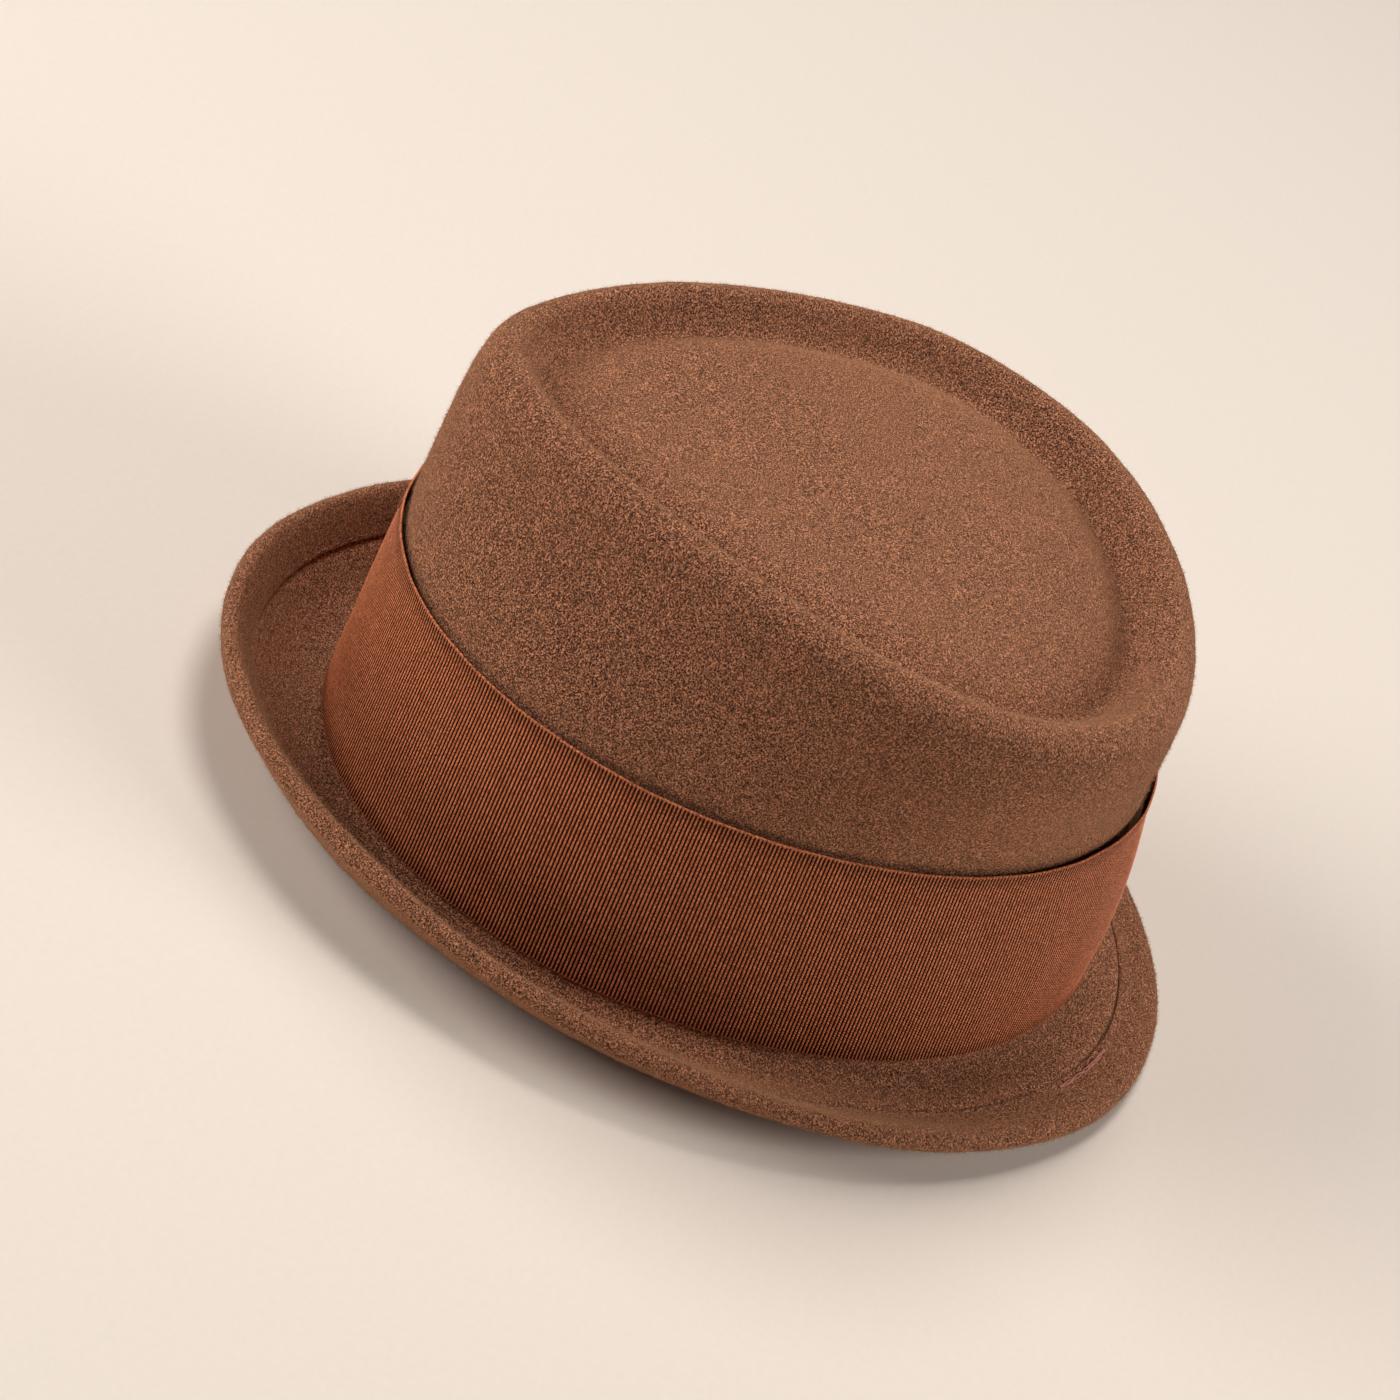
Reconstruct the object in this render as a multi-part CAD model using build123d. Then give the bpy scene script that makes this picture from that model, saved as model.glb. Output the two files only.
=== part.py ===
"""Short-brimmed felt hat with a telescope crown, built as separate solids.

Every piece is described in the hat's own form frame: millimetres, the crown's axis up,
the wearer's front towards -Y and level 0 at the break, where the crown meets the brim.
Angles go round the crown: 0 is the wearer's left (+X), 90 the back and -90 the front.
At the end the whole hat is tipped back onto the brim's lowest points and set on z = 0.
"""
from build123d import *
from math import atan2, cos, degrees, pi, radians, sin
import os

# ---- driving dimensions, millimetres ----
CROWN_WIDTH = 165.4        # outside of the felt at the break, side to side
CROWN_LENGTH = 199.8       # outside of the felt at the break, front to back
RIDGE_HEIGHT = 108.6       # crest of the ridge above the break, mean of all round
RIDGE_WIDTH = 141.8        # crest of the ridge, side to side
RIDGE_LENGTH = 172.4       # crest of the ridge, front to back
RIDGE_SHIFT = 1.9          # crest's centre behind the break's centre
RIDGE_EGG = 0.33           # how much the crest narrows towards the back
RIDGE_TILT = 6.4           # crest higher at the back, lower at the front
RIDGE_SADDLE = 2.8         # crest higher at the sides than at the ends
RIDGE_RADIUS = 5.5         # outside round of the ridge
GROOVE_INSET = 10.8        # groove's bottom inside the crest
GROOVE_DEPTH = 8.4         # groove's bottom below the crest
DOME_SHOULDER = 4.4        # tip's shoulder above the groove's bottom
DOME_RISE = 1.7            # middle of the tip above its shoulder
FRONT_BULGE = 2.6          # fullness of the crown behind the ribbon at the front
BACK_FULLNESS = 0.5        # fullness of the crown's upper back
FELT = 2.4                 # felt thickness
BRIM_SIDE = 25.0           # brim's reach outside the crown at the sides
BRIM_BACK = 31.0           # at the back
BRIM_FRONT = 26.0          # at the front
LIP_SIDE = 9.5             # brim's edge above the break at the sides
LIP_BACK = 20.3            # at the back, curled up
LIP_FRONT = -11.8          # at the front, snapped down
BRIM_DIP = 2.6             # valley of the brim just outside the crown
BREAK_RADIUS = 3.2         # round between crown and brim
WELT_WIDTH = 10.5          # brim's edge folded up and over
WELT_EDGE = 0.9            # thickness of the folded edge where it is pressed thin
WELT_STITCH = 1.1          # stitching line inside the pressed edge
WELT_GAP = 0.3             # between the folded edge and the brim
WIRE_RADIUS = 0.85         # brim wire in the fold
WIRE_CLEARANCE = 0.3
WIRE_JOINER_RADIUS = 1.02  # crimped sleeve over the two wire ends
WIRE_JOINER_LENGTH = 24.0
RIBBON_WIDTH = 56.5        # hat band
RIBBON = 0.8               # grosgrain thickness
RIBBON_LIFT = 3.4          # ribbon's lower edge above the break
RIBBON_CLEARANCE = 0.4     # between felt and ribbon
BOW_LENGTH = 58.0          # flat bow on the wearer's left
BOW_INSET = 3.0            # bow narrower than the ribbon at each edge
BOW_GAP = 0.3              # between one layer of ribbon and the next
BOW_FOLD = 1.3             # open middle of a bow loop
KNOT_WIDTH = 13.0          # strip wrapped round the bow
SWEATBAND_HEIGHT = 32.0
SWEATBAND = 1.0            # sweatband leather
SWEATBAND_START = 3.0      # sweatband's lower edge above the break
SWEATBAND_CLEARANCE = 1.1  # between felt and sweatband, where the lining is tucked
SWEATBAND_SEAM = 2.0       # stitching above the sweatband's lower edge
REED_RADIUS = 0.8          # reed along the sweatband's lower edge
REED_GAP = 0.1
LINING = 0.3               # lining cloth
LINING_CLEARANCE = 0.4     # between felt and lining
LINING_START = 14.0        # lining's lower edge, tucked behind the sweatband
LINING_DROP = 3.0          # lining's tip below the underside of the groove
LINING_ROW = 3.0           # least height between the lining's lower edge and its next row
PIPING_RADIUS = 0.7        # cord in the seam of the lining's tip
TACK_LENGTH = 2.5          # thread tack through the ribbon
TACK_INSET = 1.0           # below the ribbon's upper edge
TACK_ANGLES = (-90, 90, -32)   # at the front, at the back and beside the bow
THREAD_RADIUS = 0.25
THREAD_CLEARANCE = 0.05
LABEL_WIDTH = 16.0         # blank size label
LABEL_HEIGHT = 11.0
LABEL = 0.3
LABEL_RISE = 10.0          # label above the sweatband's lower edge
LABEL_ANGLE = 60           # left of the back seam
SEAM_TAB_WIDTH = 13.0      # tab over the sweatband's back seam
SEAM_TAB_LOW = 6.0         # tab's lower end above the sweatband's lower edge
SEAM_TAB_TOP = 3.0         # tab's upper end below the sweatband's upper edge

# ---- how finely the form is described ----
ROUND = 28                 # points round each ring
SHOULDER_DROP = 14.0       # where the side ends, below the crest
WAIST = 0.59               # where the ribbon's upper edge nips the crown, share of the side
SIDE_LEVELS = (0.94, 0.8, 0.66, 0.52, 0.38, 0.25, 0.12)
DOME_RINGS = (0.1, 0.3, 0.55, 0.78, 0.9)
SHOULDER_POWER = 8         # how steeply the tip's shoulder rises
BRIM_RINGS = (0.15, 0.3, 0.48, 0.66, 0.82)
CURL_POWER = 1.7           # how late the brim turns up or down
ROWS_PER_STEP = 2          # rows of felt faces between two points of the profile
CHANNEL_MOUTH = 0.97       # share of the wire channel's radius where the folded edge begins
CHANNEL_APPROACH = 2.2     # where the brim's last row lies before the channel, in channel radii
STEP = 0.01                # step of the numerical slopes

RIBBON_TOP = RIBBON_LIFT + RIBBON_WIDTH
SHOULDER = RIDGE_HEIGHT - SHOULDER_DROP
EGG_START = min(0.9, RIBBON_TOP / SHOULDER)   # the side turns egg-shaped above the ribbon

parts = {}


def smooth(t):
    t = min(1.0, max(0.0, t))
    return t * t * (3 - 2 * t)


def oval(phi, half_width, half_length, shift=0.0, egg=0.0, front=0.0, back=0.0):
    """A point of an egg-shaped oval, with its front and back ends pushed out."""
    along = half_length + front * max(0.0, -sin(phi)) ** 2 + back * max(0.0, sin(phi)) ** 2
    return half_width * cos(phi) * (1 - egg * sin(phi)), shift + along * sin(phi)


def side(share, phi, out=0.0):
    """The crown's side: share 0 is the break, 1 the shoulder; out is a horizontal offset."""
    upper = smooth((share - EGG_START) / (1 - EGG_START))
    taper = max(0.0, share) ** 1.15
    top_width = RIDGE_WIDTH / 2 + 1.2 * RIDGE_RADIUS
    top_length = RIDGE_LENGTH / 2 + 1.2 * RIDGE_RADIUS
    if share < WAIST:
        front = FRONT_BULGE * sin(pi * max(0.0, share) / WAIST)
    else:
        front = -0.2 * FRONT_BULGE * sin(pi * min(1.0, (share - WAIST) / (1 - WAIST)))
    x, y = oval(phi,
                CROWN_WIDTH / 2 + (top_width - CROWN_WIDTH / 2) * taper + out,
                CROWN_LENGTH / 2 + (top_length - CROWN_LENGTH / 2) * taper + out,
                RIDGE_SHIFT * sin(pi / 2 * min(1.0, max(0.0, share))),
                0.88 * RIDGE_EGG * upper,
                front,
                BACK_FULLNESS * upper)
    rise = upper * (RIDGE_TILT * sin(phi) + RIDGE_SADDLE * cos(2 * phi))
    return Vector(x, y, SHOULDER * share + rise)


def at_level(level, phi, out=0.0):
    """The crown's side at a height above the break."""
    return side(level / SHOULDER, phi, out)


def ridge_ring(phi, inset, drop, egg=1.0, wave=1.0):
    """A ring parallel to the crest of the ridge, inset inwards and dropped below it."""
    x, y = oval(phi, RIDGE_WIDTH / 2 - inset, RIDGE_LENGTH / 2 - inset, RIDGE_SHIFT, RIDGE_EGG * egg)
    rise = wave * (RIDGE_TILT * sin(phi) + RIDGE_SADDLE * cos(2 * phi))
    return Vector(x, y, RIDGE_HEIGHT - drop + rise)


def dome_ring(phi, share):
    """A ring of the tip: share 0 is its middle, 1 the bottom of the groove."""
    reach_x = (RIDGE_WIDTH / 2 - GROOVE_INSET) * share
    reach_y = (RIDGE_LENGTH / 2 - GROOVE_INSET) * share
    x, y = oval(phi, reach_x, reach_y, RIDGE_SHIFT, RIDGE_EGG * share)
    rise = share ** 2 * (RIDGE_TILT * sin(phi) + RIDGE_SADDLE * cos(2 * phi))
    height = (RIDGE_HEIGHT - GROOVE_DEPTH + DOME_SHOULDER * (1 - share ** SHOULDER_POWER)
              + DOME_RISE * (1 - share ** 2))
    return Vector(x, y, height + rise)


def brim_reach(phi):
    if sin(phi) > 0:
        return BRIM_SIDE + (BRIM_BACK - BRIM_SIDE) * sin(phi) ** 4
    return BRIM_SIDE + (BRIM_FRONT - BRIM_SIDE) * sin(phi) ** 2


def lip_height(phi):
    ends = (LIP_BACK + LIP_FRONT) / 2
    level = (ends + LIP_SIDE) / 2
    return level + (LIP_BACK - LIP_FRONT) / 2 * sin(phi) + (LIP_SIDE - ends) / 2 * cos(2 * phi)


def brim(share, phi):
    """The brim's upper surface: share 0 is the break, 1 the outermost edge."""
    out = brim_reach(phi) * share
    x, y = oval(phi, CROWN_WIDTH / 2 + out, CROWN_LENGTH / 2 + out)
    valley = BRIM_DIP * sin(pi * min(1.0, 1.15 * share))
    return Vector(x, y, lip_height(phi) * share ** CURL_POWER - valley)


def fold_share(phi):
    """Where the fold's middle lies, as a share of the brim's reach."""
    return 1 - (FELT + WELT_GAP / 2) / brim_reach(phi)


def profile(phi):
    """Points of the felt's upper surface at one angle, from the tip to the fold."""
    dome = [dome_ring(phi, share) for share in DOME_RINGS]
    ridge = [ridge_ring(phi, GROOVE_INSET, GROOVE_DEPTH),
             ridge_ring(phi, GROOVE_INSET * 0.62, GROOVE_DEPTH * 0.62),
             ridge_ring(phi, GROOVE_INSET * 0.3, GROOVE_DEPTH * 0.14),
             ridge_ring(phi, 0, 0),
             ridge_ring(phi, -0.72 * RIDGE_RADIUS, 0.42 * RIDGE_RADIUS, 0.98),
             ridge_ring(phi, -1.08 * RIDGE_RADIUS, 1.35 * RIDGE_RADIUS, 0.94, 0.97)]
    wall = [side(share, phi) for share in SIDE_LEVELS]
    foot = [at_level(1.3 * BREAK_RADIUS, phi), at_level(0.25 * BREAK_RADIUS, phi, 0.3 * BREAK_RADIUS)]
    flare = [brim(share, phi) for share in BRIM_RINGS]
    return dome + ridge + wall + foot + flare + [brim(fold_share(phi), phi)]


FOLD = len(profile(0.0)) - 1   # the last point of the profile
WALL = FOLD - len(BRIM_RINGS) - 2 - len(SIDE_LEVELS)   # the side's highest point on the profile


def sheet(v, phi):
    """The felt's upper surface as a smooth curve through the profile's points."""
    points = profile(phi)
    first = min(max(int(v), 0), FOLD - 1)
    t = v - first
    p1, p2 = points[first], points[first + 1]
    p0 = points[first - 1] if first > 0 else p1 * 2 - p2
    p3 = points[first + 2] if first + 2 <= FOLD else p2 * 2 - p1
    return (p1 * 2 + (p2 - p0) * t + (p0 * 2 - p1 * 5 + p2 * 4 - p3) * t ** 2
            + (p1 * 3 - p0 - p2 * 3 + p3) * t ** 3) * 0.5


def outward(v, phi):
    """Direction down and out along the felt, from the tip towards the brim's edge."""
    return (sheet(v + STEP, phi) - sheet(v - STEP, phi)).normalized()


def normal(v, phi):
    """Direction out of the felt's upper surface."""
    around = sheet(v, phi + STEP) - sheet(v, phi - STEP)
    return outward(v, phi).cross(around).normalized()


def skin(v, phi, rise):
    """A point above (or below) the felt's upper surface."""
    return sheet(v, phi) + normal(v, phi) * rise


def fold(phi, out, rise):
    """A point near the brim's fold: out from its middle, and rise above the brim's top."""
    if out > 0:
        return skin(FOLD, phi, rise) + outward(FOLD, phi) * out
    points = profile(phi)
    first, left = FOLD - 1, -out
    reach = (points[FOLD] - points[first]).length
    while left > reach:
        left -= reach
        first -= 1
        reach = (points[first + 1] - points[first]).length
    return skin(first + 1 - left / reach, phi, rise)


def ring(point):
    """A closed smooth wire through point(phi)."""
    return Wire([Edge.make_spline([point(2 * pi * i / ROUND) for i in range(ROUND)], periodic=True)])


def strip(first, second):
    """The faces between two closed wires."""
    return Shell.make_loft([first, second], True).faces()


def closed_solid(faces, *rims):
    """A solid from its faces, with a flat face across each small rim."""
    return Solid(Shell(faces + [Face.make_surface(rim.edges()) for rim in rims]))


def hoop(corners):
    """A closed hoop whose section has the given corners, each a function of phi."""
    rings = [ring(corner) for corner in corners]
    faces = []
    for first, second in zip(rings, rings[1:] + rings[:1]):
        faces += strip(first, second)
    return closed_solid(faces)


def wall_hoop(low, high, inner, outer, rows=6):
    """A hoop that follows the crown's side between two levels and two offsets."""
    levels = [low + (high - low) * i / (rows - 1) for i in range(rows)]
    up = [lambda phi, z=z: at_level(z, phi, outer) for z in levels]
    down = [lambda phi, z=z: at_level(z, phi, inner) for z in reversed(levels)]
    return hoop(up + down)


def cord_hoop(centre, radius, sides=8):
    """A round cord that closes on itself; centre(phi, across, up) gives its surface."""
    angles = [2 * pi * i / sides for i in range(sides)]
    return hoop([lambda phi, a=a: centre(phi, radius * cos(a), radius * sin(a)) for a in angles])


def welt_top(share):
    """Top of the folded edge above the brim: share 0 is the fold, 1 the pressed edge."""
    return WELT_GAP + FELT + (WELT_EDGE - FELT) * smooth((share - 0.3) / 0.7)


def felt_body():
    """Crown and brim in one piece, its edge folded up and over the wire's channel."""
    channel = WIRE_RADIUS + WIRE_CLEARANCE
    middle = WELT_GAP / 2
    lip = FELT + middle
    rows = [v / ROWS_PER_STEP for v in range(ROWS_PER_STEP * FOLD)]
    arc = [radians(a) for a in (225, 270, 315, 0, 45, 90, 135)]
    lip_arc = [radians(a) for a in (60, 30, 0, -30, -60)]
    corners = [lambda phi, v=v: sheet(v, phi) for v in rows]
    corners += [lambda phi, s=s: fold(phi, s * channel, 0) for s in (-CHANNEL_APPROACH, -CHANNEL_MOUTH)]
    corners += [lambda phi, a=a: fold(phi, channel * cos(a), middle + channel * sin(a)) for a in arc]
    corners += [lambda phi, s=s: fold(phi, s, WELT_GAP)
                for s in (-CHANNEL_MOUTH * channel, -0.5 * WELT_WIDTH, -WELT_WIDTH)]
    corners += [lambda phi, s=s: fold(phi, -s * WELT_WIDTH, welt_top(s)) for s in (1.0, 0.85, 0.6, 0.3, 0)]
    corners += [lambda phi, a=a: fold(phi, lip * cos(a), middle + lip * sin(a)) for a in lip_arc]
    corners += [lambda phi, v=v: skin(v, phi, -FELT) for v in [float(FOLD)] + rows[::-1]]
    rings = [ring(corner) for corner in corners]
    faces = []
    for first, second in zip(rings, rings[1:]):
        faces += strip(first, second)
    return closed_solid(faces, rings[0], rings[-1])


def brim_wire():
    """Millinery wire lying in the fold all round."""
    return cord_hoop(lambda phi, across, up: fold(phi, across, WELT_GAP / 2 + up), WIRE_RADIUS)


def stack_solid(levels, outline):
    """A solid between levels whose plan at each level is a closed polygon."""
    return Solid.make_loft([Wire.make_polygon(outline(z), close=True) for z in levels], True)


def span(width, phi, level, out=0.0):
    """The angle that a width covers on the crown's side."""
    per_radian = (at_level(level, phi + STEP, out) - at_level(level, phi - STEP, out)).length / (2 * STEP)
    return width / per_radian


def wall_patch(middle, width, low, high, inner, outer, rows=3, columns=6):
    """A patch that follows the crown's side, width wide about one angle."""
    half = span(width, middle, (low + high) / 2, inner) / 2
    angles = [middle - half + 2 * half * i / columns for i in range(columns + 1)]
    levels = [low + (high - low) * i / (rows - 1) for i in range(rows)]
    return stack_solid(levels, lambda z: [at_level(z, a, outer) for a in angles]
                       + [at_level(z, a, inner) for a in reversed(angles)])


def thread(first, last):
    """One stitch: a short straight length of thread."""
    along = last - first
    return Solid.make_cylinder(THREAD_RADIUS, along.length, Plane(first, z_dir=along))


RIBBON_INNER = RIBBON_CLEARANCE
RIBBON_OUTER = RIBBON_CLEARANCE + RIBBON
BOW_LEVELS = [RIBBON_LIFT + BOW_INSET + (RIBBON_WIDTH - 2 * BOW_INSET) * i / 3 for i in range(4)]
BOW_BACK = RIBBON_OUTER + BOW_GAP
BOW_FRONT = BOW_BACK + 2 * RIBBON + BOW_FOLD


def bow_loop(direction):
    """One loop of the flat bow: ribbon out, folded back and in again."""
    middle = (RIBBON_LIFT + RIBBON_TOP) / 2
    start = span(KNOT_WIDTH / 8, 0, middle) * direction
    stop = span(BOW_LENGTH / 2 - RIBBON - BOW_FOLD / 2, 0, middle) * direction
    angles = [start + (stop - start) * i / 6 for i in range(7)]
    turn = [radians(a) for a in (-60, -30, 0, 30, 60)]

    def outline(z):
        centre = (BOW_BACK + BOW_FRONT) / 2
        outer_r = (BOW_FRONT - BOW_BACK) / 2
        inner_r = BOW_FOLD / 2

        def bend(radius):
            return [at_level(z, stop + span(radius * cos(a), 0, middle) * direction,
                             centre + radius * sin(a)) for a in turn]

        outer = [at_level(z, a, BOW_BACK) for a in angles] + bend(outer_r)
        outer += [at_level(z, a, BOW_FRONT) for a in reversed(angles)]
        inner = [at_level(z, a, BOW_FRONT - RIBBON) for a in angles] + list(reversed(bend(inner_r)))
        inner += [at_level(z, a, BOW_BACK + RIBBON) for a in reversed(angles)]
        return outer + inner

    return stack_solid(BOW_LEVELS, outline)


def bow_knot():
    """The strip wrapped round the middle of the bow: its front, and its turns over and under."""
    low, high = BOW_LEVELS[0] - BOW_GAP, BOW_LEVELS[-1] + BOW_GAP
    front = BOW_FRONT + BOW_GAP
    face = wall_patch(0, KNOT_WIDTH, low - RIBBON, high + RIBBON, front, front + RIBBON)
    under = wall_patch(0, KNOT_WIDTH, low - RIBBON, low, BOW_BACK, front + RIBBON / 2)
    over = wall_patch(0, KNOT_WIDTH, high, high + RIBBON, BOW_BACK, front + RIBBON / 2)
    return (face + under + over).solid()


def wire_joiner():
    """Sleeve crimped over the meeting wire ends, at the back."""
    per_radian = (fold(pi / 2 + STEP, 0, 0) - fold(pi / 2 - STEP, 0, 0)).length / (2 * STEP)
    half = WIRE_JOINER_LENGTH / 2 / per_radian
    sides, steps = 8, 6
    wires = []
    for i in range(steps + 1):
        phi = pi / 2 - half + 2 * half * i / steps
        centre = fold(phi, 0, WELT_GAP / 2)
        across, up = outward(FOLD, phi), normal(FOLD, phi)
        corners = [2 * pi * k / sides for k in range(sides)]
        wires.append(Wire.make_polygon(
            [centre + (across * cos(a) + up * sin(a)) * WIRE_JOINER_RADIUS for a in corners], close=True))
    return Solid.make_loft(wires, True)


def lining_seam(phi, out=0.0, up=0.0):
    """The seam between the lining's side and its tip, hung below the groove."""
    level = RIDGE_HEIGHT - GROOVE_DEPTH - FELT - LINING_DROP
    inset = FELT * 1.1 + 2 * LINING_CLEARANCE + LINING + PIPING_RADIUS
    point = side(min(level / SHOULDER, 1.0), phi, out - inset)
    wave = RIDGE_TILT * sin(phi) + RIDGE_SADDLE * cos(2 * phi)
    return Vector(point.X, point.Y, level + wave + up)


def lining_side():
    """Cloth tube from behind the sweatband up to the tip's seam."""
    outer = -(FELT * 1.05 + LINING_CLEARANCE)
    seam_low = -PIPING_RADIUS - 2 * LINING
    above = [WALL + i for i, share in enumerate(SIDE_LEVELS) if share * SHOULDER > LINING_START + LINING_ROW]

    def wall(offset):
        rows = [lambda phi: at_level(LINING_START, phi, offset)]
        rows += [lambda phi, v=v: skin(v, phi, offset) for v in reversed(above)]
        return rows + [lambda phi: lining_seam(phi, offset - outer, seam_low)]

    return hoop(wall(outer) + list(reversed(wall(outer - LINING))))


def lining_tip():
    """Oval panel closing the lining below the crown's tip."""
    edge = -PIPING_RADIUS - 2 * LINING

    def panel(share, up):
        def point(phi):
            rim = lining_seam(phi, edge, up)
            centre = Vector(0, RIDGE_SHIFT, RIDGE_HEIGHT - GROOVE_DEPTH - FELT - LINING_DROP + up)
            return centre + (rim - centre) * share
        return point

    shares = (0.12, 0.6, 1.0)
    rings = [ring(panel(s, LINING / 2)) for s in shares]
    rings += [ring(panel(s, -LINING / 2)) for s in shares[::-1]]
    faces = []
    for first, second in zip(rings, rings[1:]):
        faces += strip(first, second)
    return closed_solid(faces, rings[0], rings[-1])


def inner_cord(level, offset, radius, sides=8):
    """A round cord inside the crown's side."""
    return cord_hoop(lambda phi, across, up: at_level(level, phi, offset + across) + Vector(0, 0, up),
                     radius, sides)


SWEATBAND_OUTER = -(FELT + SWEATBAND_CLEARANCE)
SWEATBAND_INNER = SWEATBAND_OUTER - SWEATBAND
SWEATBAND_TOP = SWEATBAND_START + SWEATBAND_HEIGHT


def build():
    """Every piece of the hat, in the form frame."""
    parts["felt_body"] = [felt_body()]
    parts["brim_wire"] = [brim_wire()]
    parts["wire_joiner"] = [wire_joiner()]
    stitch_in = WELT_WIDTH - WELT_STITCH
    stitch_rise = welt_top((stitch_in - THREAD_RADIUS) / WELT_WIDTH) + THREAD_RADIUS + THREAD_CLEARANCE

    def welt_thread(phi, across, up):
        return fold(phi, across - stitch_in, stitch_rise + up)

    parts["welt_stitching"] = [cord_hoop(welt_thread, THREAD_RADIUS, 4)]
    parts["hat_band"] = [wall_hoop(RIBBON_LIFT, RIBBON_TOP, RIBBON_INNER, RIBBON_OUTER)]
    parts["bow_loop_back"] = [bow_loop(1)]
    parts["bow_loop_front"] = [bow_loop(-1)]
    parts["bow_knot"] = [bow_knot()]
    tack_out = RIBBON_OUTER + THREAD_RADIUS + THREAD_CLEARANCE
    tack_top = RIBBON_TOP - TACK_INSET
    tack_low = tack_top - TACK_LENGTH
    parts["band_tacks"] = [thread(at_level(tack_low, radians(angle), tack_out),
                                  at_level(tack_top, radians(angle), tack_out)) for angle in TACK_ANGLES]
    parts["sweatband"] = [wall_hoop(SWEATBAND_START, SWEATBAND_TOP, SWEATBAND_INNER, SWEATBAND_OUTER, 4)]
    reed_level = SWEATBAND_START - REED_RADIUS - REED_GAP
    reed_offset = (SWEATBAND_INNER + SWEATBAND_OUTER) / 2
    parts["sweatband_reed"] = [inner_cord(reed_level, reed_offset, REED_RADIUS)]
    thread_in = SWEATBAND_INNER - THREAD_RADIUS - THREAD_CLEARANCE
    seam_level = SWEATBAND_START + SWEATBAND_SEAM
    parts["sweatband_stitching"] = [inner_cord(seam_level, thread_in, THREAD_RADIUS, 4)]
    tab_outer = thread_in - THREAD_RADIUS - THREAD_CLEARANCE
    parts["sweatband_seam_tab"] = [wall_patch(pi / 2, SEAM_TAB_WIDTH, SWEATBAND_START + SEAM_TAB_LOW,
                                              SWEATBAND_TOP - SEAM_TAB_TOP, tab_outer - LINING, tab_outer)]
    label_low = SWEATBAND_START + LABEL_RISE
    parts["size_label"] = [wall_patch(radians(LABEL_ANGLE), LABEL_WIDTH, label_low, label_low + LABEL_HEIGHT,
                                      tab_outer - LABEL, tab_outer)]
    parts["lining_side"] = [lining_side()]
    parts["lining_tip"] = [lining_tip()]
    parts["lining_piping"] = [cord_hoop(lambda phi, across, up: lining_seam(phi, across, up), PIPING_RADIUS)]


def resting_tilt():
    """Angle that brings the brim's lowest points at the front and back to one level."""
    low = [skin(v / 2, phi, -FELT) for v in range(2 * (FOLD - 7), 2 * FOLD + 1) for phi in (-pi / 2, pi / 2)]
    low += [fold(-pi / 2, (FELT + WELT_GAP / 2) * cos(a), WELT_GAP / 2 + (FELT + WELT_GAP / 2) * sin(a))
            for a in (radians(-30), radians(-60))]
    tilt = 0.0
    for _ in range(8):
        def height(p):
            return p.Z * cos(tilt) + p.Y * sin(tilt)
        front = min((p for p in low if p.Y < 0), key=height)
        back = min((p for p in low if p.Y > 0), key=height)
        tilt = -atan2(back.Z - front.Z, back.Y - front.Y)
    return degrees(tilt)


build()
tipped = Rot(X=resting_tilt())
box = (tipped * parts["felt_body"][0]).bounding_box()
rest = Pos(-box.center().X, -box.center().Y, -box.min.Z) * tipped
os.makedirs("parts", exist_ok=True)
for name, solids in parts.items():
    placed = [rest * solid for solid in solids]
    export_step(placed[0] if len(placed) == 1 else Compound(placed), f"parts/{name}.step")
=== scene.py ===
"""Looks for the felt hat: felt, ribbon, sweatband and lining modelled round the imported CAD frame.

Shapes are worked out in the hat's form frame, in millimetres: level 0 is the break between crown
and brim, the wearer's front is -Y and angle 0 is the wearer's left (+X). place() then tips and
moves them into the row frame, in metres, as the CAD part stands.
"""

from math import atan2, cos, pi, radians, sin

import bpy
import numpy as np
from mathutils import Matrix, Vector


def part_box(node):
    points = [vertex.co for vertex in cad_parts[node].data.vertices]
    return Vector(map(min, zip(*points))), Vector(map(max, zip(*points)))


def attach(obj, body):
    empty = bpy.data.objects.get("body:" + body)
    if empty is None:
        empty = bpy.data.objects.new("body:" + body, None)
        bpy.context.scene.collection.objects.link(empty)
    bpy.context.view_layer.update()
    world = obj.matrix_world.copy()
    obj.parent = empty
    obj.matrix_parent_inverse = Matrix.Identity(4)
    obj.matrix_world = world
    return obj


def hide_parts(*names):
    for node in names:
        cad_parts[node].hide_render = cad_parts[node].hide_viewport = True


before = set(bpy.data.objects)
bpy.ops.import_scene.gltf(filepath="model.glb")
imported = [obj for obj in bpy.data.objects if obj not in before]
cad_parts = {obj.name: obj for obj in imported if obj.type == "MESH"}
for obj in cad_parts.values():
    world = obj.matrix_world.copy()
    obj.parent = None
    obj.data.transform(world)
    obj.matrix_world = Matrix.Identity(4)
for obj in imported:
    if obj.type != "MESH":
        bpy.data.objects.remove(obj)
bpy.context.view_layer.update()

# ---- the form, as in the CAD part, millimetres ----
CROWN_WIDTH = 165.4
CROWN_LENGTH = 199.8
RIDGE_HEIGHT = 108.6
RIDGE_WIDTH = 141.8
RIDGE_LENGTH = 172.4
RIDGE_SHIFT = 1.9
RIDGE_EGG = 0.33
RIDGE_TILT = 6.4
RIDGE_SADDLE = 2.8
RIDGE_RADIUS = 5.5
GROOVE_INSET = 10.8
GROOVE_DEPTH = 8.4
DOME_SHOULDER = 4.4
DOME_RISE = 1.7
FRONT_BULGE = 2.6
BACK_FULLNESS = 0.5
FELT = 2.4
BRIM_SIDE = 25.0
BRIM_BACK = 31.0
BRIM_FRONT = 26.0
LIP_SIDE = 9.5
LIP_BACK = 20.3
LIP_FRONT = -11.8
BRIM_DIP = 2.6
BREAK_RADIUS = 3.2
WELT_WIDTH = 10.5
WELT_GAP = 0.3
WIRE_CHANNEL = 1.15
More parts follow.
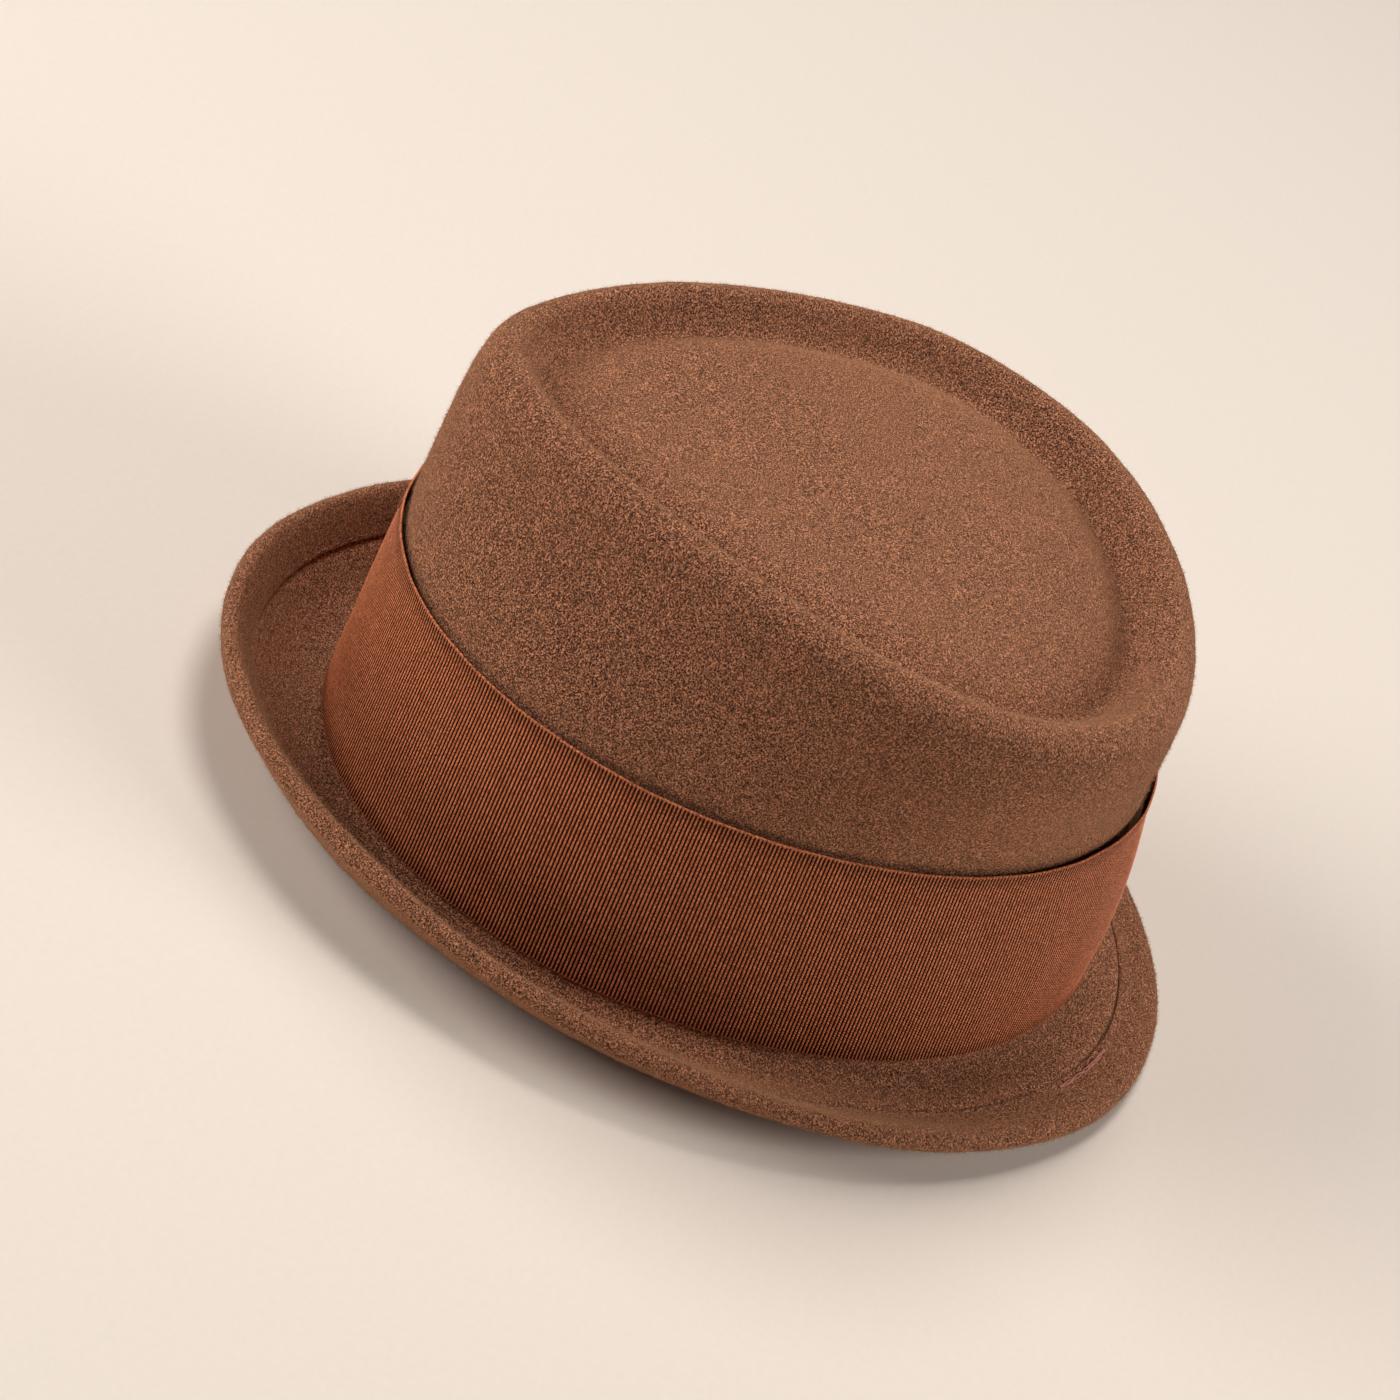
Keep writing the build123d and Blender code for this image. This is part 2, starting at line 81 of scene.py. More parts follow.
CHANNEL_MOUTH = 0.97
CHANNEL_APPROACH = 2.2
RIBBON_WIDTH = 56.5
RIBBON = 0.8
RIBBON_LIFT = 3.4
RIBBON_CLEARANCE = 0.4
BOW_LENGTH = 58.0
BOW_INSET = 3.0
BOW_GAP = 0.3
BOW_FOLD = 1.3
KNOT_WIDTH = 13.0
SWEATBAND_HEIGHT = 32.0
SWEATBAND = 1.0
SWEATBAND_START = 3.0
SWEATBAND_CLEARANCE = 1.1
SWEATBAND_SEAM = 2.0
REED_RADIUS = 0.8
REED_GAP = 0.1
LINING = 0.3
LINING_CLEARANCE = 0.4
LINING_START = 14.0
LINING_DROP = 3.0
PIPING_RADIUS = 0.7
THREAD_RADIUS = 0.25
LABEL_WIDTH = 16.0
LABEL_HEIGHT = 11.0
LABEL_RISE = 10.0
LABEL_ANGLE = 60
SEAM_TAB_WIDTH = 13.0
SEAM_TAB_LOW = 6.0
SEAM_TAB_TOP = 3.0
SHOULDER_DROP = 14.0
WAIST = 0.59
SIDE_LEVELS = (0.94, 0.8, 0.66, 0.52, 0.38, 0.25, 0.12)
DOME_RINGS = (0.1, 0.3, 0.55, 0.78, 0.9)
SHOULDER_POWER = 8
BRIM_RINGS = (0.15, 0.3, 0.48, 0.66, 0.82)
CURL_POWER = 1.7
STEP = 0.01

RIBBON_TOP = RIBBON_LIFT + RIBBON_WIDTH
SWEATBAND_TOP = SWEATBAND_START + SWEATBAND_HEIGHT
SHOULDER = RIDGE_HEIGHT - SHOULDER_DROP
EGG_START = min(0.9, RIBBON_TOP / SHOULDER)
FOLD = len(DOME_RINGS) + 6 + len(SIDE_LEVELS) + 2 + len(BRIM_RINGS)

rng = np.random.default_rng(7)


# ---- the form's surfaces; angles and shares may be arrays ----

def smooth(t):
    t = np.clip(t, 0.0, 1.0)
    return t * t * (3 - 2 * t)


def points(x, y, z):
    return np.stack(np.broadcast_arrays(x, y, z), axis=-1)


def oval(phi, half_width, half_length, shift=0.0, egg=0.0, front=0.0, back=0.0):
    s = np.sin(phi)
    along = half_length + front * np.maximum(0.0, -s) ** 2 + back * np.maximum(0.0, s) ** 2
    return half_width * np.cos(phi) * (1 - egg * s), shift + along * s


def wave(phi):
    return RIDGE_TILT * np.sin(phi) + RIDGE_SADDLE * np.cos(2 * phi)


def side(share, phi, out=0.0):
    """The crown's side: share 0 is the break, 1 the shoulder; out is a horizontal offset."""
    up = np.maximum(0.0, share)
    upper = smooth((share - EGG_START) / (1 - EGG_START))
    taper = up ** 1.15
    top_width = RIDGE_WIDTH / 2 + 1.2 * RIDGE_RADIUS
    top_length = RIDGE_LENGTH / 2 + 1.2 * RIDGE_RADIUS
    front = np.where(share < WAIST,
                     FRONT_BULGE * np.sin(pi * up / WAIST),
                     -0.2 * FRONT_BULGE * np.sin(pi * np.minimum(1.0, (share - WAIST) / (1 - WAIST))))
    x, y = oval(phi,
                CROWN_WIDTH / 2 + (top_width - CROWN_WIDTH / 2) * taper + out,
                CROWN_LENGTH / 2 + (top_length - CROWN_LENGTH / 2) * taper + out,
                RIDGE_SHIFT * np.sin(pi / 2 * np.minimum(1.0, up)),
                0.88 * RIDGE_EGG * upper, front, BACK_FULLNESS * upper)
    return points(x, y, SHOULDER * share + upper * wave(phi))


def at_level(level, phi, out=0.0):
    return side(level / SHOULDER, phi, out)


def ridge_ring(phi, inset, drop, egg=1.0, swing=1.0):
    x, y = oval(phi, RIDGE_WIDTH / 2 - inset, RIDGE_LENGTH / 2 - inset, RIDGE_SHIFT, RIDGE_EGG * egg)
    return points(x, y, RIDGE_HEIGHT - drop + swing * wave(phi))


def dome_ring(phi, share):
    x, y = oval(phi, (RIDGE_WIDTH / 2 - GROOVE_INSET) * share, (RIDGE_LENGTH / 2 - GROOVE_INSET) * share,
                RIDGE_SHIFT, RIDGE_EGG * share)
    height = (RIDGE_HEIGHT - GROOVE_DEPTH + DOME_SHOULDER * (1 - share ** SHOULDER_POWER)
              + DOME_RISE * (1 - share ** 2))
    return points(x, y, height + share ** 2 * wave(phi))


def brim_reach(phi):
    s = np.sin(phi)
    return BRIM_SIDE + np.where(s > 0, (BRIM_BACK - BRIM_SIDE) * s ** 4, (BRIM_FRONT - BRIM_SIDE) * s ** 2)


def lip_height(phi):
    ends = (LIP_BACK + LIP_FRONT) / 2
    level = (ends + LIP_SIDE) / 2
    return level + (LIP_BACK - LIP_FRONT) / 2 * np.sin(phi) + (LIP_SIDE - ends) / 2 * np.cos(2 * phi)


def brim(share, phi):
    out = brim_reach(phi) * share
    x, y = oval(phi, CROWN_WIDTH / 2 + out, CROWN_LENGTH / 2 + out)
    valley = BRIM_DIP * np.sin(pi * np.minimum(1.0, 1.15 * share))
    return points(x, y, lip_height(phi) * share ** CURL_POWER - valley)


def profile(phi):
    fold_share = 1 - (FELT + WELT_GAP / 2) / brim_reach(phi)
    rings = [dome_ring(phi, share) for share in DOME_RINGS]
    rings += [ridge_ring(phi, GROOVE_INSET, GROOVE_DEPTH),
              ridge_ring(phi, GROOVE_INSET * 0.62, GROOVE_DEPTH * 0.62),
              ridge_ring(phi, GROOVE_INSET * 0.3, GROOVE_DEPTH * 0.14),
              ridge_ring(phi, 0, 0),
              ridge_ring(phi, -0.72 * RIDGE_RADIUS, 0.42 * RIDGE_RADIUS, 0.98),
              ridge_ring(phi, -1.08 * RIDGE_RADIUS, 1.35 * RIDGE_RADIUS, 0.94, 0.97)]
    rings += [side(share, phi) for share in SIDE_LEVELS]
    rings += [at_level(1.3 * BREAK_RADIUS, phi), at_level(0.25 * BREAK_RADIUS, phi, 0.3 * BREAK_RADIUS)]
    rings += [brim(share, phi) for share in BRIM_RINGS]
    return np.stack(rings + [brim(fold_share, phi)])


def sheet(v, phi):
    """The felt's upper surface: v runs from 0 near the tip's middle to FOLD at the brim's fold."""
    v, phi = np.broadcast_arrays(np.asarray(v, float), np.asarray(phi, float))
    rings = profile(phi)
    rings = np.concatenate([2 * rings[:1] - rings[1:2], rings, 2 * rings[-1:] - rings[-2:-1]])
    first = np.clip(v.astype(int), 0, FOLD - 1)
    t = (v - first)[..., None]

    def knot(k):
        index = (first + k)[None, ..., None]
        return np.take_along_axis(rings, np.broadcast_to(index, (1,) + v.shape + (3,)), 0)[0]

    p0, p1, p2, p3 = (knot(k) for k in range(4))
    return (p1 * 2 + (p2 - p0) * t + (p0 * 2 - p1 * 5 + p2 * 4 - p3) * t ** 2
            + (p1 * 3 - p0 - p2 * 3 + p3) * t ** 3) * 0.5


def unit(a):
    return a / np.maximum(np.linalg.norm(a, axis=-1, keepdims=True), 1e-9)


def outward(v, phi):
    return unit(sheet(v + STEP, phi) - sheet(v - STEP, phi))


def normal(v, phi):
    return unit(np.cross(outward(v, phi), sheet(v, phi + STEP) - sheet(v, phi - STEP)))


def skin(v, phi, rise):
    return sheet(v, phi) + normal(v, phi) * rise


def fold(phi, out, rise):
    """A point near the brim's fold: out from its middle, and rise above the brim's top."""
    if out > 0:
        return skin(FOLD, phi, rise) + outward(FOLD, phi) * out
    rings = profile(phi)[::-1]
    steps = np.linalg.norm(np.diff(rings, axis=0), axis=-1)
    passed = np.concatenate([np.zeros((1,) + steps.shape[1:]), np.cumsum(steps, 0)])
    v = [FOLD - np.interp(-out, passed[:, k], np.arange(len(passed))) for k in range(passed.shape[1])]
    return skin(np.array(v), phi, rise)


def resting_tilt():
    """Angle that brings the brim's lowest points at the front and back to one level."""
    ends = np.array([-pi / 2, pi / 2])
    low = [skin(v / 2, ends, -FELT) for v in range(2 * (FOLD - 7), 2 * FOLD + 1)]
    lip = FELT + WELT_GAP / 2
    low += [fold(ends[:1], lip * cos(a), WELT_GAP / 2 + lip * sin(a)) for a in (radians(-30), radians(-60))]
    low = np.concatenate(low)
    tilt = 0.0
    for _ in range(8):
        height = low[:, 2] * cos(tilt) + low[:, 1] * sin(tilt)
        front, back = (low[mask][np.argmin(height[mask])] for mask in (low[:, 1] < 0, low[:, 1] > 0))
        tilt = -atan2(back[2] - front[2], back[1] - front[1])
    return tilt


TILT = resting_tilt()
TIP = np.array([[1, 0, 0], [0, cos(TILT), -sin(TILT)], [0, sin(TILT), cos(TILT)]])
shift = np.zeros(3)


def place(p):
    """From the form frame, in millimetres, to the row frame, in metres."""
    return p @ TIP.T * 0.001 + shift


# ---- meshes ----

def ripple(p, shortest, longest, waves=18):
    """A smooth random height, about -1 to 1, from waves of the given lengths in millimetres."""
    total = np.zeros(p.shape[:-1])
    for _ in range(waves):
        direction = unit(rng.normal(size=3))
        length = rng.uniform(shortest, longest)
        total += np.sin(2 * pi / length * (p @ direction) + rng.uniform(0, 2 * pi))
    return total / waves ** 0.5


def quads(rows, columns, wrap_rows, wrap_columns):
    r = np.arange(rows if wrap_rows else rows - 1)[:, None]
    c = np.arange(columns if wrap_columns else columns - 1)[None, :]
    r2, c2 = (r + 1) % rows, (c + 1) % columns
    corners = [r * columns + c, r2 * columns + c, r2 * columns + c2, r * columns + c2]
    return np.stack(np.broadcast_arrays(*corners), axis=-1).reshape(-1, 4).tolist()


def tube_faces(rows, columns, closed):
    """Faces of a closed section carried along the columns, with flat ends unless it meets itself."""
    faces = quads(rows, columns, True, closed)
    if not closed:
        faces.append([r * columns for r in range(rows)])
        faces.append([r * columns + columns - 1 for r in reversed(range(rows))])
    return faces


def capped(p):
    """Points and faces of rings (rows of p) that close on a middle point at each end."""
    rows, columns = p.shape[:2]
    verts = np.concatenate([p.reshape(-1, 3), p[0].mean(0)[None], p[-1].mean(0)[None]])
    faces = quads(rows, columns, False, True)
    count = rows * columns
    for i in range(columns):
        k = (i + 1) % columns
        faces.append([count, i, k])
        faces.append([count + 1, count - columns + k, count - columns + i])
    return verts, faces


def mesh_object(name, verts, faces, material, attributes=None):
    """A smooth-shaded piece from points in the form frame."""
    mesh = bpy.data.meshes.new(name)
    mesh.from_pydata(place(verts).tolist(), [], faces)
    mesh.validate()
    for key, values in (attributes or {}).items():
        vector = values.ndim == 2
        layer = mesh.attributes.new(key, "FLOAT_VECTOR" if vector else "FLOAT", "POINT")
        layer.data.foreach_set("vector" if vector else "value", values.astype(np.float32).ravel())
    mesh.polygons.foreach_set("use_smooth", [True] * len(mesh.polygons))
    mesh.materials.append(material)
    piece = bpy.data.objects.new(name, mesh)
    bpy.context.scene.collection.objects.link(piece)
    return piece


def keep(piece, slot, *nodes):
    """The calls that every piece needs."""
    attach(piece, "root")
    if nodes:
        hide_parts(*nodes)
    return piece


def loop_object(name, p, material, closed, attributes=None):
    """A solid whose closed section (rows of p) is carried along the columns of p."""
    rows, columns = p.shape[:2]
    flat = {k: a.reshape(rows * columns, -1).squeeze(-1) if a.ndim == 2 else a.reshape(rows * columns, 3)
            for k, a in (attributes or {}).items()}
    return mesh_object(name, p.reshape(-1, 3), tube_faces(rows, columns, closed), material, flat)


def tube(path, radius, sides, taper):
    """Points of a round thread along a path: (sides, count, 3). Ends shrink by taper."""
    ahead = np.roll(path, -1, 0) - np.roll(path, 1, 0)
    ahead[0], ahead[-1] = path[1] - path[0], path[-1] - path[-2]
    ahead = unit(ahead)
    across = unit(np.cross(ahead, np.array([0.13, 0.21, 0.97])))
    up = np.cross(ahead, across)
    size = np.full(len(path), float(radius))
    size[[0, -1]] *= taper
    angles = np.arange(sides)[:, None, None] * 2 * pi / sides
    return path[None] + (across * np.cos(angles) + up * np.sin(angles)) * size[None, :, None]


def join(parts):
    """Several (verts, faces) as one."""
    verts, faces, count = [], [], 0
    for v, f in parts:
        verts.append(v)
        faces += [[i + count for i in face] for face in f]
        count += len(v)
    return np.concatenate(verts), faces


def tube_part(path, radius, sides=6, taper=0.35):
    p = tube(np.asarray(path, float), radius, sides, taper)
    return p.reshape(-1, 3), tube_faces(*p.shape[:2], False)


# ---- materials ----

class Nodes:
    """A material with a Principled shader, and short calls to add nodes to it."""

    def __init__(self, name, **inputs):
        self.material = bpy.data.materials.new(name)
        self.material.use_nodes = True
        self.tree = self.material.node_tree
        self.shader = self.tree.nodes["Principled BSDF"]
        self.fill(self.shader, inputs)

    def fill(self, node, inputs):
        for key, value in inputs.items():
            socket = node.inputs[key if isinstance(key, int) else key.replace("_", " ")]
            if isinstance(value, bpy.types.NodeSocket):
                self.tree.links.new(value, socket)
            else:
                socket.default_value = value

    def add(self, kind, inputs=None, out=0, **settings):
        node = self.tree.nodes.new("ShaderNode" + kind)
        for key, value in settings.items():
            setattr(node, key, value)
        self.fill(node, inputs or {})
        return node.outputs[out]

    def math(self, operation, *values, clamp=False):
        return self.add("Math", dict(enumerate(values)), operation=operation, use_clamp=clamp)

    def total(self, first, share, second, part):
        """first times share, plus second times part."""
        return self.math("ADD", self.math("MULTIPLY", first, share), self.math("MULTIPLY", second, part))

    def place(self):
        return self.add("TexCoord", out="Object")

    def attribute(self, name, out="Fac"):
        return self.add("Attribute", out=out, attribute_name=name)

    def weave(self):
        """The piece's own cloth coordinates, in millimetres."""
        return self.add("SeparateXYZ", {0: self.attribute("weave", "Vector")}).node.outputs

    def noise(self, size, detail=3.0, roughness=0.6, distortion=0.0, vector=None):
        """Noise whose features are about size millimetres across."""
        sockets = {"Vector": vector or self.place(), "Scale": 1000.0 / size, "Detail": detail,
                   "Roughness": roughness, "Distortion": distortion}
        return self.add("TexNoise", sockets, out="Fac")

    def span(self, value, low, high, to_low=0.0, to_high=1.0):
        return self.add("MapRange", {"Value": value, "From Min": low, "From Max": high,
                                     "To Min": to_low, "To Max": to_high})

    def mix(self, share, first, second, blend="MIX"):
        node = self.tree.nodes.new("ShaderNodeMix")
        node.data_type = "RGBA"
        node.blend_type = blend
        self.fill(node, {0: share, 6: first, 7: second})
        return node.outputs[2]

    def bump(self, height, distance, strength=1.0, under=None):
        inputs = {"Height": height, "Distance": distance * 0.001, "Strength": strength}
        if under is not None:
            inputs["Normal"] = under
        return self.add("Bump", inputs, out="Normal")

    def link(self, key, socket):
        self.fill(self.shader, {key: socket})


def rgb(r, g, b):
    """A colour from its sRGB numbers."""
    return tuple(c / 255 / 12.92 if c <= 10 else ((c / 255 + 0.055) / 1.055) ** 2.4
                 for c in (r, g, b)) + (1.0,)


def felt_material():
    m = Nodes("felt", Roughness=0.92, Sheen_Weight=0.5, Sheen_Roughness=0.4, Sheen_Tint=rgb(236, 172, 124),
              Specular_IOR_Level=0.2)
    grain = m.total(m.noise(0.4, 2, 0.7), 0.78, m.noise(0.8, 2, 0.6), 0.22)
    clumps = m.noise(2.6, 3, 0.65)
    broad = m.noise(42, 2, 0.5)
    lines = m.math("ABSOLUTE", m.math("SUBTRACT", m.noise(1.1, 1.5, 0.5, 1.2), 0.5))
    fibre = m.math("MULTIPLY", m.span(lines, 0.0, 0.03, 1.0, 0.0), m.span(m.noise(0.6, 2), 0.42, 0.6))
    tone = m.add("ValToRGB", {"Fac": grain})
    ramp = tone.node.color_ramp
    ramp.elements[0].position, ramp.elements[0].color = 0.405, rgb(30, 13, 8)
    ramp.elements[1].position, ramp.elements[1].color = 0.615, rgb(228, 156, 117)
    middle = ramp.elements.new(0.51)
    middle.color = rgb(122, 74, 52)
    colour = m.mix(m.math("MULTIPLY", fibre, 0.65), tone, rgb(212, 158, 122))
    colour = m.mix(m.span(clumps, 0.35, 0.7, 0.0, 0.14), colour, rgb(84, 50, 34))
    colour = m.mix(m.span(broad, 0.35, 0.65, 0.0, 0.16), colour, rgb(150, 98, 66))
    m.link("Base Color", colour)
    height = m.total(grain, 0.7, fibre, 0.4)
    m.link("Normal", m.bump(height, 0.5, 1.0))
    return m.material


def ribbon_material():
    m = Nodes("ribbon", Roughness=0.55, Sheen_Weight=0.12, Sheen_Roughness=0.35, Sheen_Tint=rgb(255, 130, 70),
              Specular_IOR_Level=0.3, Specular_Tint=rgb(255, 170, 120))
    crest = m.attribute("crest")
    along, across, _ = m.weave()
    slant = m.math("ADD", m.math("MULTIPLY", across, 2 * pi / 0.75), m.math("MULTIPLY", along, 2 * pi / 1.7))
    bead = m.span(m.math("SINE", slant), -1.0, 1.0)
    grit = m.noise(0.5, 2, 0.6)
    patch = m.noise(5.0, 3, 0.6)
    # Painted rib light: the crest attribute makes the valleys between the ribs nearly black as painted shade
    # and the crests bright as a painted highlight; the slanted thread beads are lightened only where that
    # painted highlight is.
    rib_shade_to_highlight = m.math("MULTIPLY", m.span(crest, 0.7, 1.0), m.span(grit, 0.38, 0.62, 0.35, 1.0))
    colour = m.mix(rib_shade_to_highlight, rgb(8, 2, 1), rgb(255, 146, 100))
    colour = m.mix(m.math("MULTIPLY", m.math("MULTIPLY", bead, rib_shade_to_highlight), 0.4), colour, rgb(255, 176, 122))
    colour = m.mix(m.span(patch, 0.35, 0.7, 0.0, 0.15), colour, rgb(84, 32, 18))
    m.link("Base Color", colour)
    height = m.total(m.math("MULTIPLY", bead, crest), 0.7, grit, 0.4)
    m.link("Normal", m.bump(height, 0.18, 0.9))
    return m.material


def thread_material(name, colour):
    m = Nodes(name, Roughness=0.6, Sheen_Weight=0.3, Sheen_Roughness=0.4)
    twist = m.noise(0.25, 2, 0.6)
    light = tuple(min(1.0, c * 1.7) for c in colour[:3]) + (1.0,)
    dark = tuple(c * 0.55 for c in colour[:3]) + (1.0,)
    m.link("Base Color", m.mix(twist, dark, light))
    m.link("Normal", m.bump(twist, 0.1, 0.7))
    return m.material


def leather_material():
    m = Nodes("leather", Roughness=0.5, Specular_IOR_Level=0.4, Coat_Weight=0.08)
    cells = m.add("TexVoronoi", {"Vector": m.place(), "Scale": 1000 / 1.1}, out="Distance")
    pores = m.noise(0.6, 3, 0.7)
    wear = m.noise(14, 3, 0.6)
    colour = m.mix(m.span(cells, 0.0, 0.6), rgb(66, 36, 22), rgb(104, 62, 38))
    colour = m.mix(m.span(wear, 0.4, 0.7, 0.0, 0.35), colour, rgb(136, 86, 54))
    m.link("Base Color", colour)
    m.link("Roughness", m.span(wear, 0.3, 0.7, 0.42, 0.62))
    height = m.math("ADD", m.span(cells, 0.0, 0.5), m.math("MULTIPLY", pores, 0.5))
    m.link("Normal", m.bump(height, 0.16, 0.6))
    return m.material


def satin_material(name, dark, light):
    m = Nodes(name, Roughness=0.34, Sheen_Weight=0.2, Specular_IOR_Level=0.55, Anisotropic=0.5)
    along, across, _ = m.weave()
    threads = m.math("MULTIPLY",
                     m.span(m.math("SINE", m.math("MULTIPLY", along, 2 * pi / 0.35)), -1, 1),
                     m.span(m.math("SINE", m.math("MULTIPLY", across, 2 * pi / 0.7)), -1, 1))
    slub = m.noise(2.5, 3, 0.6)
    tone = m.math("ADD", m.math("MULTIPLY", threads, 0.3), slub)
    m.link("Base Color", m.mix(m.span(tone, 0.3, 0.95), dark, light))
    m.link("Normal", m.bump(threads, 0.05, 0.5))
    return m.material


def woven_material(name, dark, light, pitch=0.6):
    m = Nodes(name, Roughness=0.75, Sheen_Weight=0.3)
    along, across, _ = m.weave()
    first = m.math("SINE", m.math("MULTIPLY", along, 2 * pi / pitch))
    second = m.math("SINE", m.math("MULTIPLY", across, 2 * pi / pitch))
    threads = m.span(m.math("MULTIPLY", first, second), -1, 1)
    m.link("Base Color", m.mix(m.math("ADD", m.math("MULTIPLY", threads, 0.6),
                                      m.math("MULTIPLY", m.noise(1.5), 0.4)), dark, light))
    m.link("Normal", m.bump(threads, 0.1, 0.8))
    return m.material


def metal_material(name, colour, roughness):
    m = Nodes(name, Metallic=1.0, Base_Color=colour)
    m.link("Roughness", m.span(m.noise(0.8, 3), 0.3, 0.7, roughness - 0.08, roughness + 0.12))
    m.link("Normal", m.bump(m.noise(0.5, 3), 0.03, 0.5))
    return m.material


def plastic_material():
    m = Nodes("reed", Specular_IOR_Level=0.5)
    streak = m.noise(1.2, 3)
    m.link("Base Color", m.mix(streak, rgb(66, 44, 32), rgb(92, 62, 44)))
    m.link("Roughness", m.span(streak, 0.3, 0.7, 0.38, 0.55))
    m.link("Normal", m.bump(streak, 0.04, 0.5))
    return m.material


def fibre_material():
    """Loose fibre ends, lighter and more golden than the felt they stand on."""
    m = Nodes("felt_fibre", Roughness=0.7, Sheen_Weight=0.5, Sheen_Tint=rgb(240, 196, 140))
    m.link("Base Color", m.mix(m.noise(1.4, 2), rgb(104, 66, 44), rgb(206, 156, 114)))
    return m.material


felt = felt_material()
felt_fibre = fibre_material()
grosgrain = ribbon_material()
brown_thread = thread_material("brown_thread", rgb(176, 112, 92))
ribbon_thread = thread_material("ribbon_thread", rgb(140, 78, 50))
leather = leather_material()
satin = satin_material("lining", rgb(92, 56, 38), rgb(150, 98, 66))
tape = woven_material("tape", rgb(60, 36, 24), rgb(104, 66, 44))
label_cloth = woven_material("label", rgb(176, 158, 130), rgb(224, 210, 184), 0.5)
piping_cloth = satin_material("piping", rgb(80, 46, 30), rgb(134, 84, 56))
steel = metal_material("wire", (0.5, 0.49, 0.47, 1), 0.35)
brass = metal_material("sleeve", (0.6, 0.45, 0.2, 1), 0.32)
reed_plastic = plastic_material()

# ---- felt ----
AROUND = 480
angles = np.arange(AROUND) * 2 * pi / AROUND
TOP_ROWS, ROWS_PER_STEP = 2, 4
OVER_RIDGE = len(DOME_RINGS) + 4         # places on the profile: just outside the ridge's crest,
UNDER_RIBBON = OVER_RIDGE + 5            # on the wall behind the ribbon,
WALL_END = FOLD - len(BRIM_RINGS) - 2    # at the wall's lower end
BREAK = WALL_END + 1                     # and at the break between crown and brim
FADED_THINNING = 1.3    # the folded edge is this much thinner where it fades out
RAMP_THINNING = 1.15    # the same for the brim that rises to meet it,
RAMP_LENGTH = 10        # over this length
PINCH, PINCH_WIDTH = 0.75, 2.6           # the felt is drawn in at the ribbon's upper edge
FLOOR_GAP = 0.02        # fibre ends stay this far above the floor
lip = FELT + WELT_GAP / 2


def welt_pressed(phi):
    """1 where the welt's edge is pressed thin and shows, at the back; 0 where it fades out."""
    return np.exp(-((phi - radians(95)) / radians(38)) ** 2)


def row_of(v):
    """Row of the felt's grid at a place on the profile."""
    return TOP_ROWS + ROWS_PER_STEP * v


PRESSED = welt_pressed(angles)


def welt_height(s, pressed):
    """Top of the folded edge above the brim: s is 0 at the fold and 1 at the edge."""
    thin = np.interp(s, (0, 0.15, 0.3, 0.45, 0.6, 0.74, 0.86, 0.94, 0.985, 1),
                     (FELT, 2.4, 2.37, 2.25, 2.0, 1.6, 1.15, 0.85, 0.6, 0.25))
    full = FELT - FADED_THINNING * smooth(s / 0.95)
    return WELT_GAP + full + (thin - full) * pressed


def felt_rows():
    """Rings of the felt from the tip over the brim's fold and back inside, and where each stretch starts."""
    rows = [dome_ring(angles, share) for share in (0.02, 0.05)]
    rows += list(sheet(np.arange(0, FOLD - 0.5, 1 / ROWS_PER_STEP)[:, None], angles[None]))
    top = len(rows)
    rows += [fold(angles, -s * WIRE_CHANNEL, 0) for s in (CHANNEL_APPROACH, CHANNEL_MOUTH)]
    rows += [fold(angles, WIRE_CHANNEL * cos(radians(a)), WELT_GAP / 2 + WIRE_CHANNEL * sin(radians(a)))
             for a in (225, 270, 315, 0, 45, 90, 135)]
    rows += [fold(angles, -s * WELT_WIDTH, WELT_GAP) for s in (0.14, 0.5, 0.97)]
    welt = len(rows)
    rows += [fold(angles, -s * WELT_WIDTH, welt_height(s, PRESSED)[:, None])
             for s in (1.0, 0.985, 0.94, 0.86, 0.74, 0.6, 0.45, 0.3, 0.15, 0)]
    for a in range(75, -76, -12):
        rows.append(fold(angles, lip * cos(radians(a)), WELT_GAP / 2 + lip * sin(radians(a))))
    under = len(rows)
    rows += list(skin(np.arange(FOLD, WALL_END - 0.1, -1 / ROWS_PER_STEP)[:, None], angles[None], -FELT))
    inside = len(rows)
    rows += list(skin(np.arange(WALL_END - 1, -0.1, -1.0)[:, None], angles[None], -FELT))
    return np.stack(rows), top, welt, under, inside


felt_p, top_end, welt_start, under_start, inside_start = felt_rows()
felt_box = felt_p.reshape(-1, 3) @ TIP.T * 0.001
low, high = felt_box.min(0), felt_box.max(0)
cad_low, cad_high = (np.array(c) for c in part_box("felt_body"))
shift = np.append(((cad_low + cad_high - low - high) / 2)[:2], cad_low[2] - low[2])


def grid_normals(p):
    down = np.gradient(p, axis=0)
    around = np.roll(p, -1, 1) - np.roll(p, 1, 1)
    return unit(np.cross(down, around))


